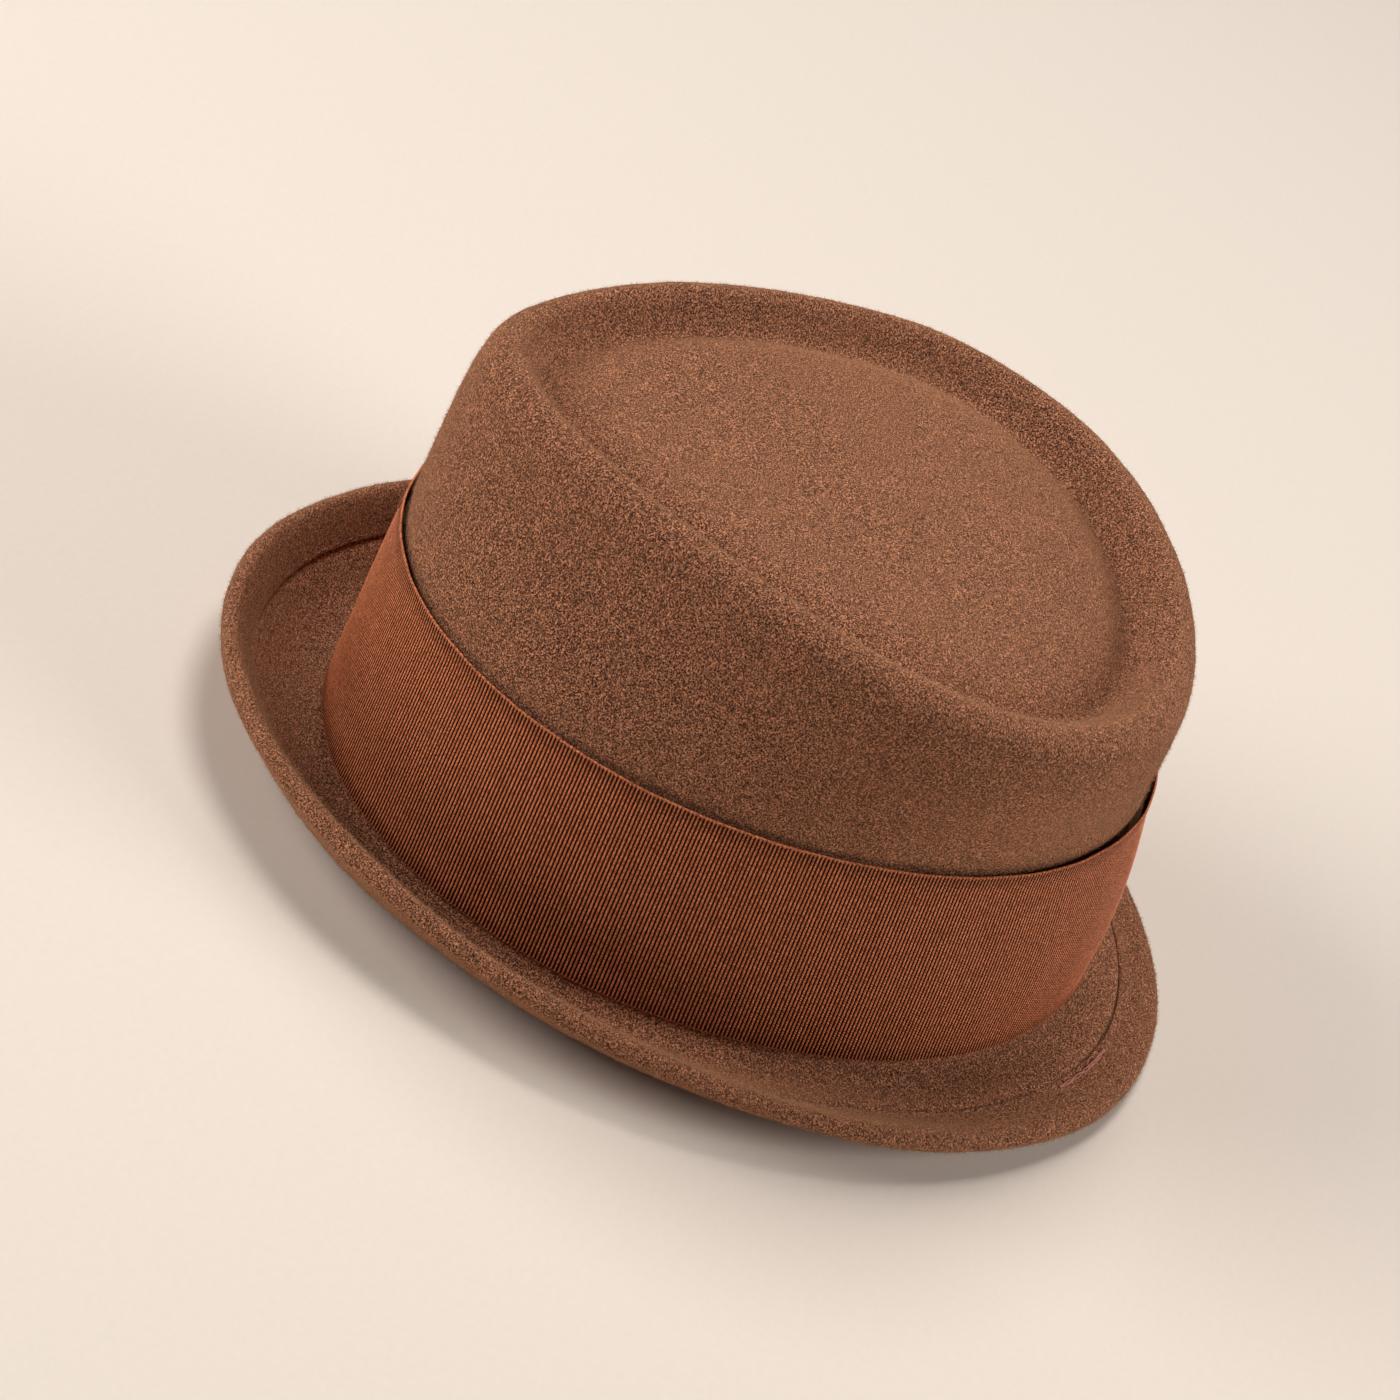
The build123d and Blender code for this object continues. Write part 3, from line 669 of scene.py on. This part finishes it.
def felt_object():
    n = grid_normals(felt_p)
    amount = 0.2 * ripple(felt_p, 35, 80)
    amount += 0.05 * ripple(felt_p, 8, 16, 30)
    amount += 0.03 * ripple(felt_p, 2.5, 5, 40)
    level = felt_p[..., 2]
    row = np.arange(len(felt_p))[:, None]
    wall = (row > row_of(OVER_RIDGE)) & (row < row_of(BREAK))
    covered = wall & (level < RIBBON_TOP - 1) & (level > RIBBON_LIFT)
    amount = np.where(covered, -0.15 + 0.2 * amount.clip(-1, 0.4), amount)
    pinch = np.where(wall, np.exp(-((level - RIBBON_TOP + 1) / PINCH_WIDTH) ** 2), 0)
    amount = amount - PINCH * pinch
    steps = np.linalg.norm(np.diff(felt_p[:top_end], axis=0), axis=2)
    to_fold = np.concatenate([np.cumsum(steps[::-1], 0)[::-1], np.zeros((1, AROUND))]) + 0.5 * WELT_GAP
    past = to_fold - WELT_WIDTH
    ramp = (1 - PRESSED) * (WELT_GAP + FELT - RAMP_THINNING) * smooth(1 - past / RAMP_LENGTH) * (past > -1.5)
    amount[:top_end] += ramp
    hidden = (row >= top_end) & (row < welt_start)
    amount = np.where(hidden | (row >= inside_start), 0.0, amount)
    p = felt_p + n * amount[..., None]
    p[..., 2] += np.maximum(0, -place(p)[..., 2] * 1000)
    verts, faces = capped(p)
    faces = [face[::-1] for face in faces] if flipped(p) else faces
    return mesh_object("felt", verts, faces, felt), p, n


def flipped(p):
    """True if the first rows' faces would point into the hat."""
    a = p[4, 1] - p[4, 0]
    b = p[5, 0] - p[4, 0]
    return np.cross(b, a)[2] < 0


felt_piece, felt_final, felt_normals = felt_object()
keep(felt_piece, "felt", "felt_body")


def nap(name, rows, count, mean_length):
    """Loose fibre ends standing on the felt: thin closed spikes at random places."""
    p = felt_final[rows[0]:rows[1]]
    n = felt_normals[rows[0]:rows[1]]
    edge_a = np.roll(p, -1, 1)[:-1] - p[:-1]
    edge_b = p[1:] - p[:-1]
    area = np.linalg.norm(np.cross(edge_a, edge_b), axis=-1)
    cell = rng.choice(area.size, count, p=(area / area.sum()).ravel())
    i, j = np.unravel_index(cell, area.shape)
    s, t = rng.random((2, count, 1))
    root = p[i, j] + edge_a[i, j] * s + edge_b[i, j] * t
    up = n[i, j]
    lean = rng.normal(size=(count, 3))
    lean = unit(lean - up * (lean * up).sum(1, keepdims=True))
    length = mean_length * rng.uniform(0.5, 1.5, (count, 1))
    rise = rng.uniform(0.3, 1.4, (count, 1))
    direction = unit(up * rise + lean)
    across = unit(np.cross(direction, up))
    other = np.cross(direction, across)
    width = rng.uniform(0.03, 0.05, (count, 1))
    base = root - up * 0.08
    ring = [base + (across * cos(a) + other * sin(a)) * width for a in (0, 2 * pi / 3, 4 * pi / 3)]
    tip = root + direction * length
    verts = np.stack(ring + [tip], axis=1).reshape(-1, 3)
    height = place(verts)[:, 2] * 1000
    verts[:, 2] += np.maximum(0, FLOOR_GAP - height)
    k = np.arange(count)[:, None] * 4
    faces = np.concatenate([k + np.array(f) for f in ([0, 1, 3], [1, 2, 3], [2, 0, 3], [2, 1, 0])]).tolist()
    return mesh_object(name, verts, faces, felt_fibre)


for name, rows, count, length in (
        ("felt_nap_tip", (row_of(0), row_of(OVER_RIDGE)), 37000, 0.95),
        ("felt_nap_crown", (row_of(OVER_RIDGE) - 1, row_of(UNDER_RIBBON)), 33000, 0.95),
        ("felt_nap_brim", (welt_start, under_start), 44000, 1.0),
        ("felt_nap_inner_brim", (row_of(BREAK), top_end), 14000, 0.9),
        ("felt_nap_underside", (under_start, inside_start), 20000, 0.9)):
    keep(nap(name, rows, count, length), "felt")

# ---- ribbon ----
RIB = 0.95
RIB_SHARES = np.array([0, 0.12, 0.32, 0.5, 0.68, 0.88])
RIB_HEIGHTS = np.array([0, 0.65, 0.93, 1, 0.93, 0.65])
RIB_DEPTH = 0.34


def ribs(length):
    """Places along a ribbon, and how near each is to a rib's crest."""
    count = max(1, round(length / RIB))
    s = (np.arange(count)[:, None] + RIB_SHARES).ravel() * length / count
    return s, np.tile(RIB_HEIGHTS, count)


def ring_by_length(level, out):
    """Angles round the crown by length along the ring, for a ring that starts at angle 0."""
    phi = np.linspace(0, 2 * pi, 2881)
    p = at_level(level, phi, out)
    length = np.concatenate([[0], np.cumsum(np.linalg.norm(np.diff(p, axis=0), axis=1))])
    return phi, length


def section(half_width, rows=13):
    """Closed section of a ribbon: places across it, side (1 outer, -1 inner) and edge bulge."""
    across = np.linspace(-half_width, half_width, rows)
    across = np.concatenate([[-half_width + 0.25, -half_width + 0.8], across[1:-1],
                             [half_width - 0.8, half_width - 0.25]])
    inner = across[::-1][[0, 1, 4, 7, 10, -2, -1]]
    levels = np.concatenate([across, [half_width], inner, [-half_width]])
    sides = np.concatenate([np.ones(len(across)), [0], -np.ones(len(inner)), [0]])
    return levels, sides


def band():
    middle = (RIBBON_LIFT + RIBBON_TOP) / 2
    outer = RIBBON_CLEARANCE + RIBBON
    phi, length = ring_by_length(middle, outer)
    s, crest = ribs(length[-1])
    around = np.interp(s, length, phi)
    levels, sides = section(RIBBON_WIDTH / 2)
    across, side_of = levels[:, None], sides[:, None]
    edge = np.abs(across) / (RIBBON_WIDTH / 2)
    selvedge = np.exp(-((np.abs(across) - RIBBON_WIDTH / 2 + 0.35) / 0.4) ** 2)
    rib = crest[None, :] * (1 - 0.35 * selvedge)
    slack = (0.3 + 0.2 * np.sin(3 * around + 1) + 0.12 * np.sin(7 * around)) * edge ** 8
    slack = slack + 0.12 * np.sin(2 * pi * s / 23 + 0.4) * np.sin(2 * pi * s / 61)
    centre = RIBBON_CLEARANCE + RIBBON / 2 + slack
    half = np.where(side_of > 0, RIBBON / 2 - RIB_DEPTH * (1 - rib) + 0.1 * selvedge, -RIBBON / 2 + 0.1)
    half = np.where(side_of == 0, 0.0, half)
    reach = np.where(side_of == 0, 0.14 * (crest[None, :] - 0.4) * np.sign(across), 0)
    drift = 0.35 * np.sin(2 * around + 0.6)
    p = at_level(middle + across + reach + drift * (edge ** 2), around[None, :], centre + half)
    weave = points(s[None, :], across, np.zeros_like(rib))
    # Painted rib light for the ribbon's colour: low in the rib valleys as painted shade, full on the crests,
    # on both edges and on the bulged selvedge as a painted highlight, mid on the inner side.
    painted_rib_light = np.where(side_of < 0, 0.6, np.where(side_of == 0, 1.0, np.maximum(rib, 0.95 * selvedge)))
    return loop_object("hat_band_ribbon", p, grosgrain, True, {"weave": weave, "crest": painted_rib_light})


band_length = ring_by_length((RIBBON_LIFT + RIBBON_TOP) / 2, RIBBON_CLEARANCE + RIBBON / 2)[1][-1]
hat_band = keep(band(), "ribbon", "hat_band")

RIBBON_OUTER = RIBBON_CLEARANCE + RIBBON
BOW_BACK = RIBBON_OUTER + BOW_GAP
BOW_FRONT = BOW_BACK + 2 * RIBBON + BOW_FOLD
BOW_HALF = RIBBON_WIDTH / 2 - BOW_INSET
MIDDLE = (RIBBON_LIFT + RIBBON_TOP) / 2
PER_RADIAN = float(np.linalg.norm(at_level(MIDDLE, STEP) - at_level(MIDDLE, -STEP)) / (2 * STEP))


def along_path(path):
    """Even ribs along a path of 2-D points: places, crests, points and unit normals."""
    path = np.asarray(path, float)
    steps = np.concatenate([[0], np.cumsum(np.linalg.norm(np.diff(path, axis=0), axis=1))])
    s, crest = ribs(steps[-1])
    p = np.stack([np.interp(s, steps, path[:, k]) for k in (0, 1)], axis=1)
    near = np.stack([np.interp(s + 0.2, steps, path[:, k]) - np.interp(s - 0.2, steps, path[:, k])
                     for k in (0, 1)], axis=1)
    near = unit(near)
    return s, crest, p, np.stack([near[:, 1], -near[:, 0]], axis=1)


def bow_loop(name, direction):
    start, stop = KNOT_WIDTH / 8, BOW_LENGTH / 2 - RIBBON - BOW_FOLD / 2
    back, front = BOW_BACK + RIBBON / 2, BOW_FRONT - RIBBON / 2
    radius = (front - back) / 2
    flat = np.linspace(start, stop, 20)
    puff = 0.5 * np.sin(pi * (flat - start) / (stop - start)) ** 2
    turn = np.radians(np.linspace(-90, 90, 13))[1:-1]
    path = [(a, back) for a in flat]
    path += [(stop + radius * cos(t), (front + back) / 2 + radius * sin(t)) for t in turn]
    path += [(a, front + b) for a, b in zip(flat[::-1], puff[::-1])]
    s, crest, p, n = along_path(path)
    levels, sides = section(BOW_HALF, 11)
    across, side_of = levels[:, None], sides[:, None]
    half = np.where(side_of == 0, 0, side_of * (RIBBON / 2 - 0.2 * (1 - crest[None, :])))
    arc = p[None, :, 0] + n[None, :, 0] * half
    out = p[None, :, 1] + n[None, :, 1] * half
    reach = np.where(side_of == 0, 0.12 * crest[None, :] * np.sign(across), 0)
    nip = 1 - 0.05 * np.exp(-((arc - start) / 5.0) ** 2)
    q = at_level(MIDDLE + (across + reach) * nip, direction * arc / PER_RADIAN, out)
    weave = points(s[None, :], across, np.zeros_like(arc))
    # The crest values also paint shade into the rib valleys and a highlight on the crests of the bow's
    # ribbon.
    piece = loop_object(name, q, grosgrain, False,
                        {"weave": weave, "crest": np.broadcast_to(crest[None, :], arc.shape)})
    return piece, s[-1]


for name, direction, node in (("bow_loop_back_ribbon", 1, "bow_loop_back"),
                              ("bow_loop_front_ribbon", -1, "bow_loop_front")):
    piece, length = bow_loop(name, direction)
    keep(piece, "ribbon", node)


def bow_knot():
    low, high = -BOW_HALF - BOW_GAP, BOW_HALF + BOW_GAP
    back, front = BOW_BACK + 0.2, BOW_FRONT + BOW_GAP
    r = RIBBON / 2
    corner = [radians(a) for a in (15, 35, 55, 75)]
    path = [(low - r, back), (low - r, front - 0.6)]
    path += [(low + 0.6 - (0.6 + r) * cos(a), front - 0.6 + (0.6 + r) * sin(a)) for a in corner]
    path += [(z, front + r + 0.25 * cos(pi * z / (2 * high))) for z in np.linspace(low + 1, high - 1, 12)]
    path += [(high - 0.6 + (0.6 + r) * cos(a), front - 0.6 + (0.6 + r) * sin(a)) for a in corner[::-1]]
    path += [(high + r, front - 0.6), (high + r, back)]
    s, crest, p, n = along_path(path)
    levels, sides = section(KNOT_WIDTH / 2, 9)
    across, side_of = levels[:, None], sides[:, None]
    half = np.where(side_of == 0, 0, -side_of * (RIBBON / 2 - 0.2 * (1 - crest[None, :])))
    gather = 0.18 * np.cos(across * 2.4) * (side_of > 0)
    level = p[None, :, 0] + n[None, :, 0] * (half - gather)
    out = p[None, :, 1] + n[None, :, 1] * (half - gather)
    waist = 1 - 0.1 * np.cos(pi * p[None, :, 0] / (2 * high))
    q = at_level(MIDDLE + level, across * waist / PER_RADIAN, out)
    weave = points(s[None, :], across, np.zeros_like(level))
    # The crest values also paint shade into the rib valleys and a highlight on the crests of the knot's
    # ribbon.
    piece = loop_object("bow_knot_ribbon", q, grosgrain, False,
                        {"weave": weave, "crest": np.broadcast_to(crest[None, :], level.shape)})
    return piece, s[-1]


knot_piece, knot_length = bow_knot()
keep(knot_piece, "ribbon", "bow_knot")

# ---- stitching ----

STITCH_SHARE = 0.9       # the stitches' place on the welt: 0 at the fold, 1 at its edge
THREAD_END_SHARE = 0.82  # the same for the loose end
WELT_THREAD, LOOP_THREAD = 0.17, 0.11
STITCH_PITCH = 3.1


def welt_stitches():
    """Short stitches sunk along the welt's edge, and the thread's fastened-off end at the front right."""
    parts = []
    count = 150
    ring = np.arange(count) * 2 * pi / count + rng.normal(0, 0.006, count)
    for phi in ring:
        turn = rng.uniform(0.007, 0.012)
        a = np.array([phi - turn, phi - turn / 2, phi, phi + turn / 2, phi + turn])
        depth = np.array([-0.4, 0.0, 0.1, 0.0, -0.4]) + rng.uniform(-0.25, 0.05)
        depth += welt_height(STITCH_SHARE, welt_pressed(phi))
        path = np.stack([fold(a[k:k + 1], -STITCH_SHARE * WELT_WIDTH, depth[k])[0] for k in range(5)])
        parts.append(tube_part(path, WELT_THREAD))
    start, stop = radians(-122), radians(-108)
    for strand in range(3):
        a = np.linspace(start, stop, 30) + rng.normal(0, 0.001)
        wobble = 0.35 * np.sin(np.linspace(0, 14 + 3 * strand, 30) + strand * 2.1)
        level = welt_height(THREAD_END_SHARE, 0) + 0.3
        path = np.stack([fold(a[k:k + 1], -THREAD_END_SHARE * WELT_WIDTH + wobble[k],
                              level + 0.2 * cos(k * 1.1 + strand))[0] for k in range(30)])
        parts.append(tube_part(path, WELT_THREAD))
    for centre, size in ((-112.5, 1.7), (-119.5, 1.2)):
        t = np.linspace(0, 1.6 * pi, 14)
        a = np.radians(centre) + 0.012 * size * np.cos(t)
        path = np.stack([fold(a[k:k + 1], -THREAD_END_SHARE * WELT_WIDTH - size * sin(t[k]) * 0.6 - 0.5,
                              welt_height(0.85, 0) + 0.3 + 0.3 * sin(t[k]))[0] for k in range(14)])
        parts.append(tube_part(path, LOOP_THREAD))
    return mesh_object("welt_stitches", *join(parts), brown_thread)


keep(welt_stitches(), "thread", "welt_stitching")

SWEAT_OUT = -(FELT + SWEATBAND_CLEARANCE)
SWEAT_IN = SWEAT_OUT - SWEATBAND


def band_stitches():
    """A row of slanted stitches round the sweatband."""
    parts = []
    seam = SWEATBAND_START + SWEATBAND_SEAM
    phi, length = ring_by_length(seam, SWEAT_IN)
    count = int(length[-1] / STITCH_PITCH)
    for k in range(count):
        a = np.interp((k + np.array([0.16, 0.3, 0.5, 0.7, 0.84])) * length[-1] / count, length, phi)
        level = seam + np.array([-0.25, -0.15, 0, 0.15, 0.25])
        sink = np.array([0.25, 0.02, -0.06, 0.02, 0.25])
        path = at_level(level, a, SWEAT_IN - THREAD_RADIUS * 0.8 + sink)
        parts.append(tube_part(path, THREAD_RADIUS * 0.9))
    return mesh_object("sweatband_stitches", *join(parts), brown_thread)


keep(band_stitches(), "thread", "sweatband_stitching")

# ---- sweatband, lining and what is on them ----

MEAN_RADIUS = 85.0      # of the crown, for weaves that run round it
WALL_SHARE = 0.6        # share of the lining's side that follows the crown's wall


def inner_hoop(name, low, high, inner, outer, material, relief, rows=14, around=360):
    """A band inside the crown; relief(phi, share) pushes it towards the middle."""
    phi = np.arange(around) * 2 * pi / around
    share = np.linspace(0, 1, rows)
    levels = low + (high - low) * share
    edge = 0.35 * abs(outer - inner)
    loop = [(levels[k], inner, share[k]) for k in range(rows)]
    loop += [(high + edge, (inner + outer) / 2, 1.0)]
    loop += [(levels[k], outer, share[k]) for k in reversed(range(rows))]
    loop += [(low - edge, (inner + outer) / 2, 0.0)]
    p = np.stack([at_level(z, phi, out - relief(phi, s)) for z, out, s in loop])
    per = ring_by_length(low, inner)[1][-1] / (2 * pi)
    weave = np.stack([points(phi * per, np.full(around, z), np.zeros(around)) for z, _, _ in loop])
    return loop_object(name, p, material, True, {"weave": weave})


def sweat_relief(phi, share):
    buckle = 0.25 * np.sin(5 * phi + 0.7) + 0.18 * np.sin(11 * phi + 2)
    return share ** 3 * (0.35 + buckle)


sweat_length = ring_by_length(SWEATBAND_START, SWEAT_IN)[1][-1]
sweatband = inner_hoop("sweatband_leather", SWEATBAND_START, SWEATBAND_TOP, SWEAT_IN, SWEAT_OUT,
                       leather, sweat_relief)
keep(sweatband, "leather", "sweatband")


def cord_ring(name, point, radius, material, twist=0.0):
    """A round closed cord; point(phi, across, up) gives its surface."""
    phi = np.arange(420) * 2 * pi / 420
    sides = 12
    rings = []
    for k in range(sides):
        a = 2 * pi * k / sides
        swell = radius * (1 + twist * np.cos(3 * a + 110 * phi))
        rings.append(point(phi, swell * cos(a), swell * sin(a)))
    p = np.stack(rings)
    weave = np.stack([points(phi * MEAN_RADIUS, np.full(len(phi), radius * 2 * pi * k / sides), 0 * phi)
                      for k in range(sides)])
    return loop_object(name, p, material, True, {"weave": weave})


def lining_seam(phi, out=0.0, up=0.0):
    level = RIDGE_HEIGHT - GROOVE_DEPTH - FELT - LINING_DROP
    inset = FELT * 1.1 + 2 * LINING_CLEARANCE + LINING + PIPING_RADIUS
    p = side(min(level / SHOULDER, 1.0), phi, out - inset)
    return points(p[..., 0], p[..., 1], level + wave(phi) + up)


reed_level = SWEATBAND_START - REED_RADIUS - REED_GAP
reed = cord_ring("sweatband_reed_cord",
                 lambda phi, across, up: at_level(reed_level, phi, (SWEAT_IN + SWEAT_OUT) / 2 + across)
                 + np.array([0, 0, 1]) * np.asarray(up)[..., None], REED_RADIUS, reed_plastic)
keep(reed, "reed", "sweatband_reed")
piping = cord_ring("lining_piping_cord", lambda phi, across, up: lining_seam(phi, across, up),
                   PIPING_RADIUS, piping_cloth, 0.1)
keep(piping, "piping", "lining_piping")


def lining_side():
    """Cloth tube from behind the sweatband up to the tip's seam, gathered into soft pleats."""
    around = 720
    phi = np.arange(around) * 2 * pi / around
    offset = -(FELT * 1.05 + LINING_CLEARANCE)
    seam_low = -PIPING_RADIUS - 2 * LINING
    rows = 26
    share = np.linspace(0, 1, rows)

    def wall(extra):
        made = []
        for s in share:
            level = LINING_START + (RIBBON_TOP - LINING_START) * min(1.0, s / WALL_SHARE)
            base = at_level(level, phi, offset)
            if s > WALL_SHARE:
                past = (s - WALL_SHARE) / (1 - WALL_SHARE)
                base = base + (lining_seam(phi, 0.0, seam_low) - base) * past
            pleat = np.maximum(0, np.sin(46 * phi + 0.8 * np.sin(3 * phi))) ** 2
            fade = float(smooth((s - 0.35) / 0.5))
            depth = extra + fade * (0.75 * pleat + 0.25 * np.sin(17 * phi + 1)) * (1 - 0.4 * s)
            inward = -unit(points(base[:, 0], base[:, 1], 0 * phi))
            made.append(base + inward * np.broadcast_to(depth, phi.shape)[:, None])
        return made

    inner, outer = wall(LINING), wall(0.0)
    p = np.stack(inner + outer[::-1])
    shares = np.concatenate([share, share[::-1]])[:, None]
    weave = points(phi[None, :] * MEAN_RADIUS, shares * 80, np.zeros((2 * rows, 1)))
    return loop_object("lining_side_cloth", p, satin, True, {"weave": weave})


side_piece = keep(lining_side(), "lining", "lining_side")
lining_length = ring_by_length(LINING_START, -FELT - LINING_CLEARANCE)[1][-1]


def lining_tip():
    """Oval panel below the crown's tip, puckered a little along its seam."""
    around, rows = 420, 26
    phi = np.arange(around) * 2 * pi / around
    edge = -PIPING_RADIUS - 2 * LINING
    rim = lining_seam(phi, edge, 0.0)
    centre = np.array([0, RIDGE_SHIFT, RIDGE_HEIGHT - GROOVE_DEPTH - FELT - LINING_DROP])
    rings = []
    for side_of in (1, -1):
        shares = np.linspace(0.02, 1, rows) if side_of > 0 else np.linspace(1, 0.02, rows)
        for s in shares:
            p = centre + (rim - centre) * s
            pucker = 0.3 * np.sin(60 * phi + 0.6 * np.sin(5 * phi)) * s ** 10 * (1 if s < 0.999 else 0.3)
            sag = -1.6 * (1 - s * s) + 0.5 * np.sin(2 * phi + 1) * s * (1 - s)
            p[:, 2] += pucker + sag + side_of * LINING / 2
            rings.append(p)
    verts, faces = capped(np.stack(rings))
    return mesh_object("lining_tip_cloth", verts, faces, satin, {"weave": verts * [1, 1, 0]})


tip_piece = keep(lining_tip(), "lining", "lining_tip")


def patch(name, middle, width, low, high, inner, outer, material, curl=0.0):
    """A small flat piece on the sweatband, with rounded thin edges."""
    columns, rows = 28, 22
    across = np.linspace(-width / 2, width / 2, columns)
    up = np.linspace(low, high, rows)
    phi = middle + across / PER_RADIAN
    share = np.abs(across / (width / 2))[None, :] ** 6
    lift = curl * (share + (np.abs((up - (low + high) / 2) / ((high - low) / 2)) ** 6)[:, None])
    inward = at_level(up[:, None], phi[None, :], inner - lift)
    backed = at_level(up[:, None], phi[None, :], outer - lift)
    p = np.concatenate([inward, backed[::-1]])
    levels = np.concatenate([up, up[::-1]])[:, None]
    weave = points(across[None, :], levels, np.zeros((2 * rows, columns)))
    return loop_object(name, p, material, False, {"weave": weave})


tab_outer = SWEAT_IN - 4 * THREAD_RADIUS
tab_low, tab_high = SWEATBAND_START + SEAM_TAB_LOW, SWEATBAND_TOP - SEAM_TAB_TOP
tab = patch("sweatband_seam_tape", pi / 2, SEAM_TAB_WIDTH, tab_low, tab_high,
            tab_outer - LINING, tab_outer, tape, 0.08)
keep(tab, "tape", "sweatband_seam_tab")
label_low = SWEATBAND_START + LABEL_RISE
label = patch("size_label_cloth", radians(LABEL_ANGLE), LABEL_WIDTH, label_low, label_low + LABEL_HEIGHT,
              tab_outer - LINING, tab_outer, label_cloth, 0.12)
keep(label, "label", "size_label")

# ---- carried-over CAD nodes ----
for node, material in (("brim_wire", steel), ("wire_joiner", brass), ("band_tacks", ribbon_thread)):
    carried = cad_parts[node]
    carried.data.materials.clear()
    carried.data.materials.append(material)

# ---- floor, light and camera ----
TARGET = np.array([0, 0, 50.0])
azimuth, elevation, roll = radians(-99.94), radians(34.12), radians(25.15)
DISTANCE = 905.95
LENS, SENSOR = 96.366, 36
AIM_RIGHT, AIM_UP = -0.020843, -0.009155   # slopes of the middle ray from the line to the target
back = np.array([sin(azimuth) * cos(elevation), -cos(azimuth) * cos(elevation), sin(elevation)])
right = unit(np.cross(-back, np.array([0, 0, 1.0])))
above = np.cross(right, -back)
camera_x = right * cos(roll) + above * sin(roll)
camera_y = -right * sin(roll) + above * cos(roll)
middle_ray = unit(-back + camera_x * AIM_RIGHT + camera_y * AIM_UP)
aim_x = unit(camera_x - middle_ray * (camera_x @ middle_ray))
aim_y = np.cross(aim_x, middle_ray)

camera_data = bpy.data.cameras.new("camera")
camera_data.sensor_width = SENSOR
camera_data.lens = LENS
camera_data.clip_start, camera_data.clip_end = 0.05, 50
camera = bpy.data.objects.new("camera", camera_data)
bpy.context.scene.collection.objects.link(camera)
turn = np.stack([TIP @ aim_x, TIP @ aim_y, TIP @ -middle_ray], axis=1)
spot = place(TARGET + back * DISTANCE)
camera.matrix_world = Matrix([list(turn[k]) + [spot[k]] for k in range(3)] + [[0, 0, 0, 1]])
bpy.context.scene.camera = camera

floor_material = Nodes("floor", Roughness=0.85, Specular_IOR_Level=0.2)
speck = floor_material.noise(2.0, 3, 0.6)
floor_material.link("Base Color", floor_material.mix(speck, rgb(228, 217, 206), rgb(234, 224, 213)))
floor_material.link("Normal", floor_material.bump(speck, 0.1, 0.3))
floor_mesh = bpy.data.meshes.new("floor")
SIZE = 6.0
floor_corners = [(x * SIZE, y * SIZE, 0) for x, y in ((-1, -1), (1, -1), (1, 1), (-1, 1))]
floor_mesh.from_pydata(floor_corners, [], [[0, 1, 2, 3]])
floor_mesh.materials.append(floor_material.material)
floor = bpy.data.objects.new("floor", floor_mesh)
bpy.context.scene.collection.objects.link(floor)

centre = Vector(place(np.array([0, 0, 55.0])).tolist())
LIGHT = 9.0   # watts at one metre that light a level pale floor fully


def area_light(name, direction, distance, size, power, colour):
    data = bpy.data.lights.new(name, "AREA")
    data.shape = "DISK"
    data.size = size
    data.energy = power
    data.color = colour
    light = bpy.data.objects.new(name, data)
    bpy.context.scene.collection.objects.link(light)
    way = Vector((TIP @ unit(direction)).tolist())
    light.location = centre + way * distance
    light.rotation_mode = "QUATERNION"
    light.rotation_quaternion = way.to_track_quat("Z", "Y")


for name, direction, distance, size, level in (("left", (-0.1, 0.87, 0.55), 1.8, 1.3, 0.86),
                                               ("right", (-0.15, -0.75, 0.3), 1.9, 1.0, 0.66),
                                               ("top", (0.15, 0.0, 0.4), 1.8, 0.9, 0.68)):
    area_light(name, np.array(direction), distance, size, LIGHT * level * distance ** 2, (1.0, 0.965, 0.935))

bpy.context.scene.view_settings.view_transform = "Standard"
world = bpy.data.worlds.new("world")
bpy.context.scene.world = world
world.use_nodes = True
world.node_tree.nodes["Background"].inputs["Color"].default_value = rgb(250, 240, 226)
world.node_tree.nodes["Background"].inputs["Strength"].default_value = 0.03
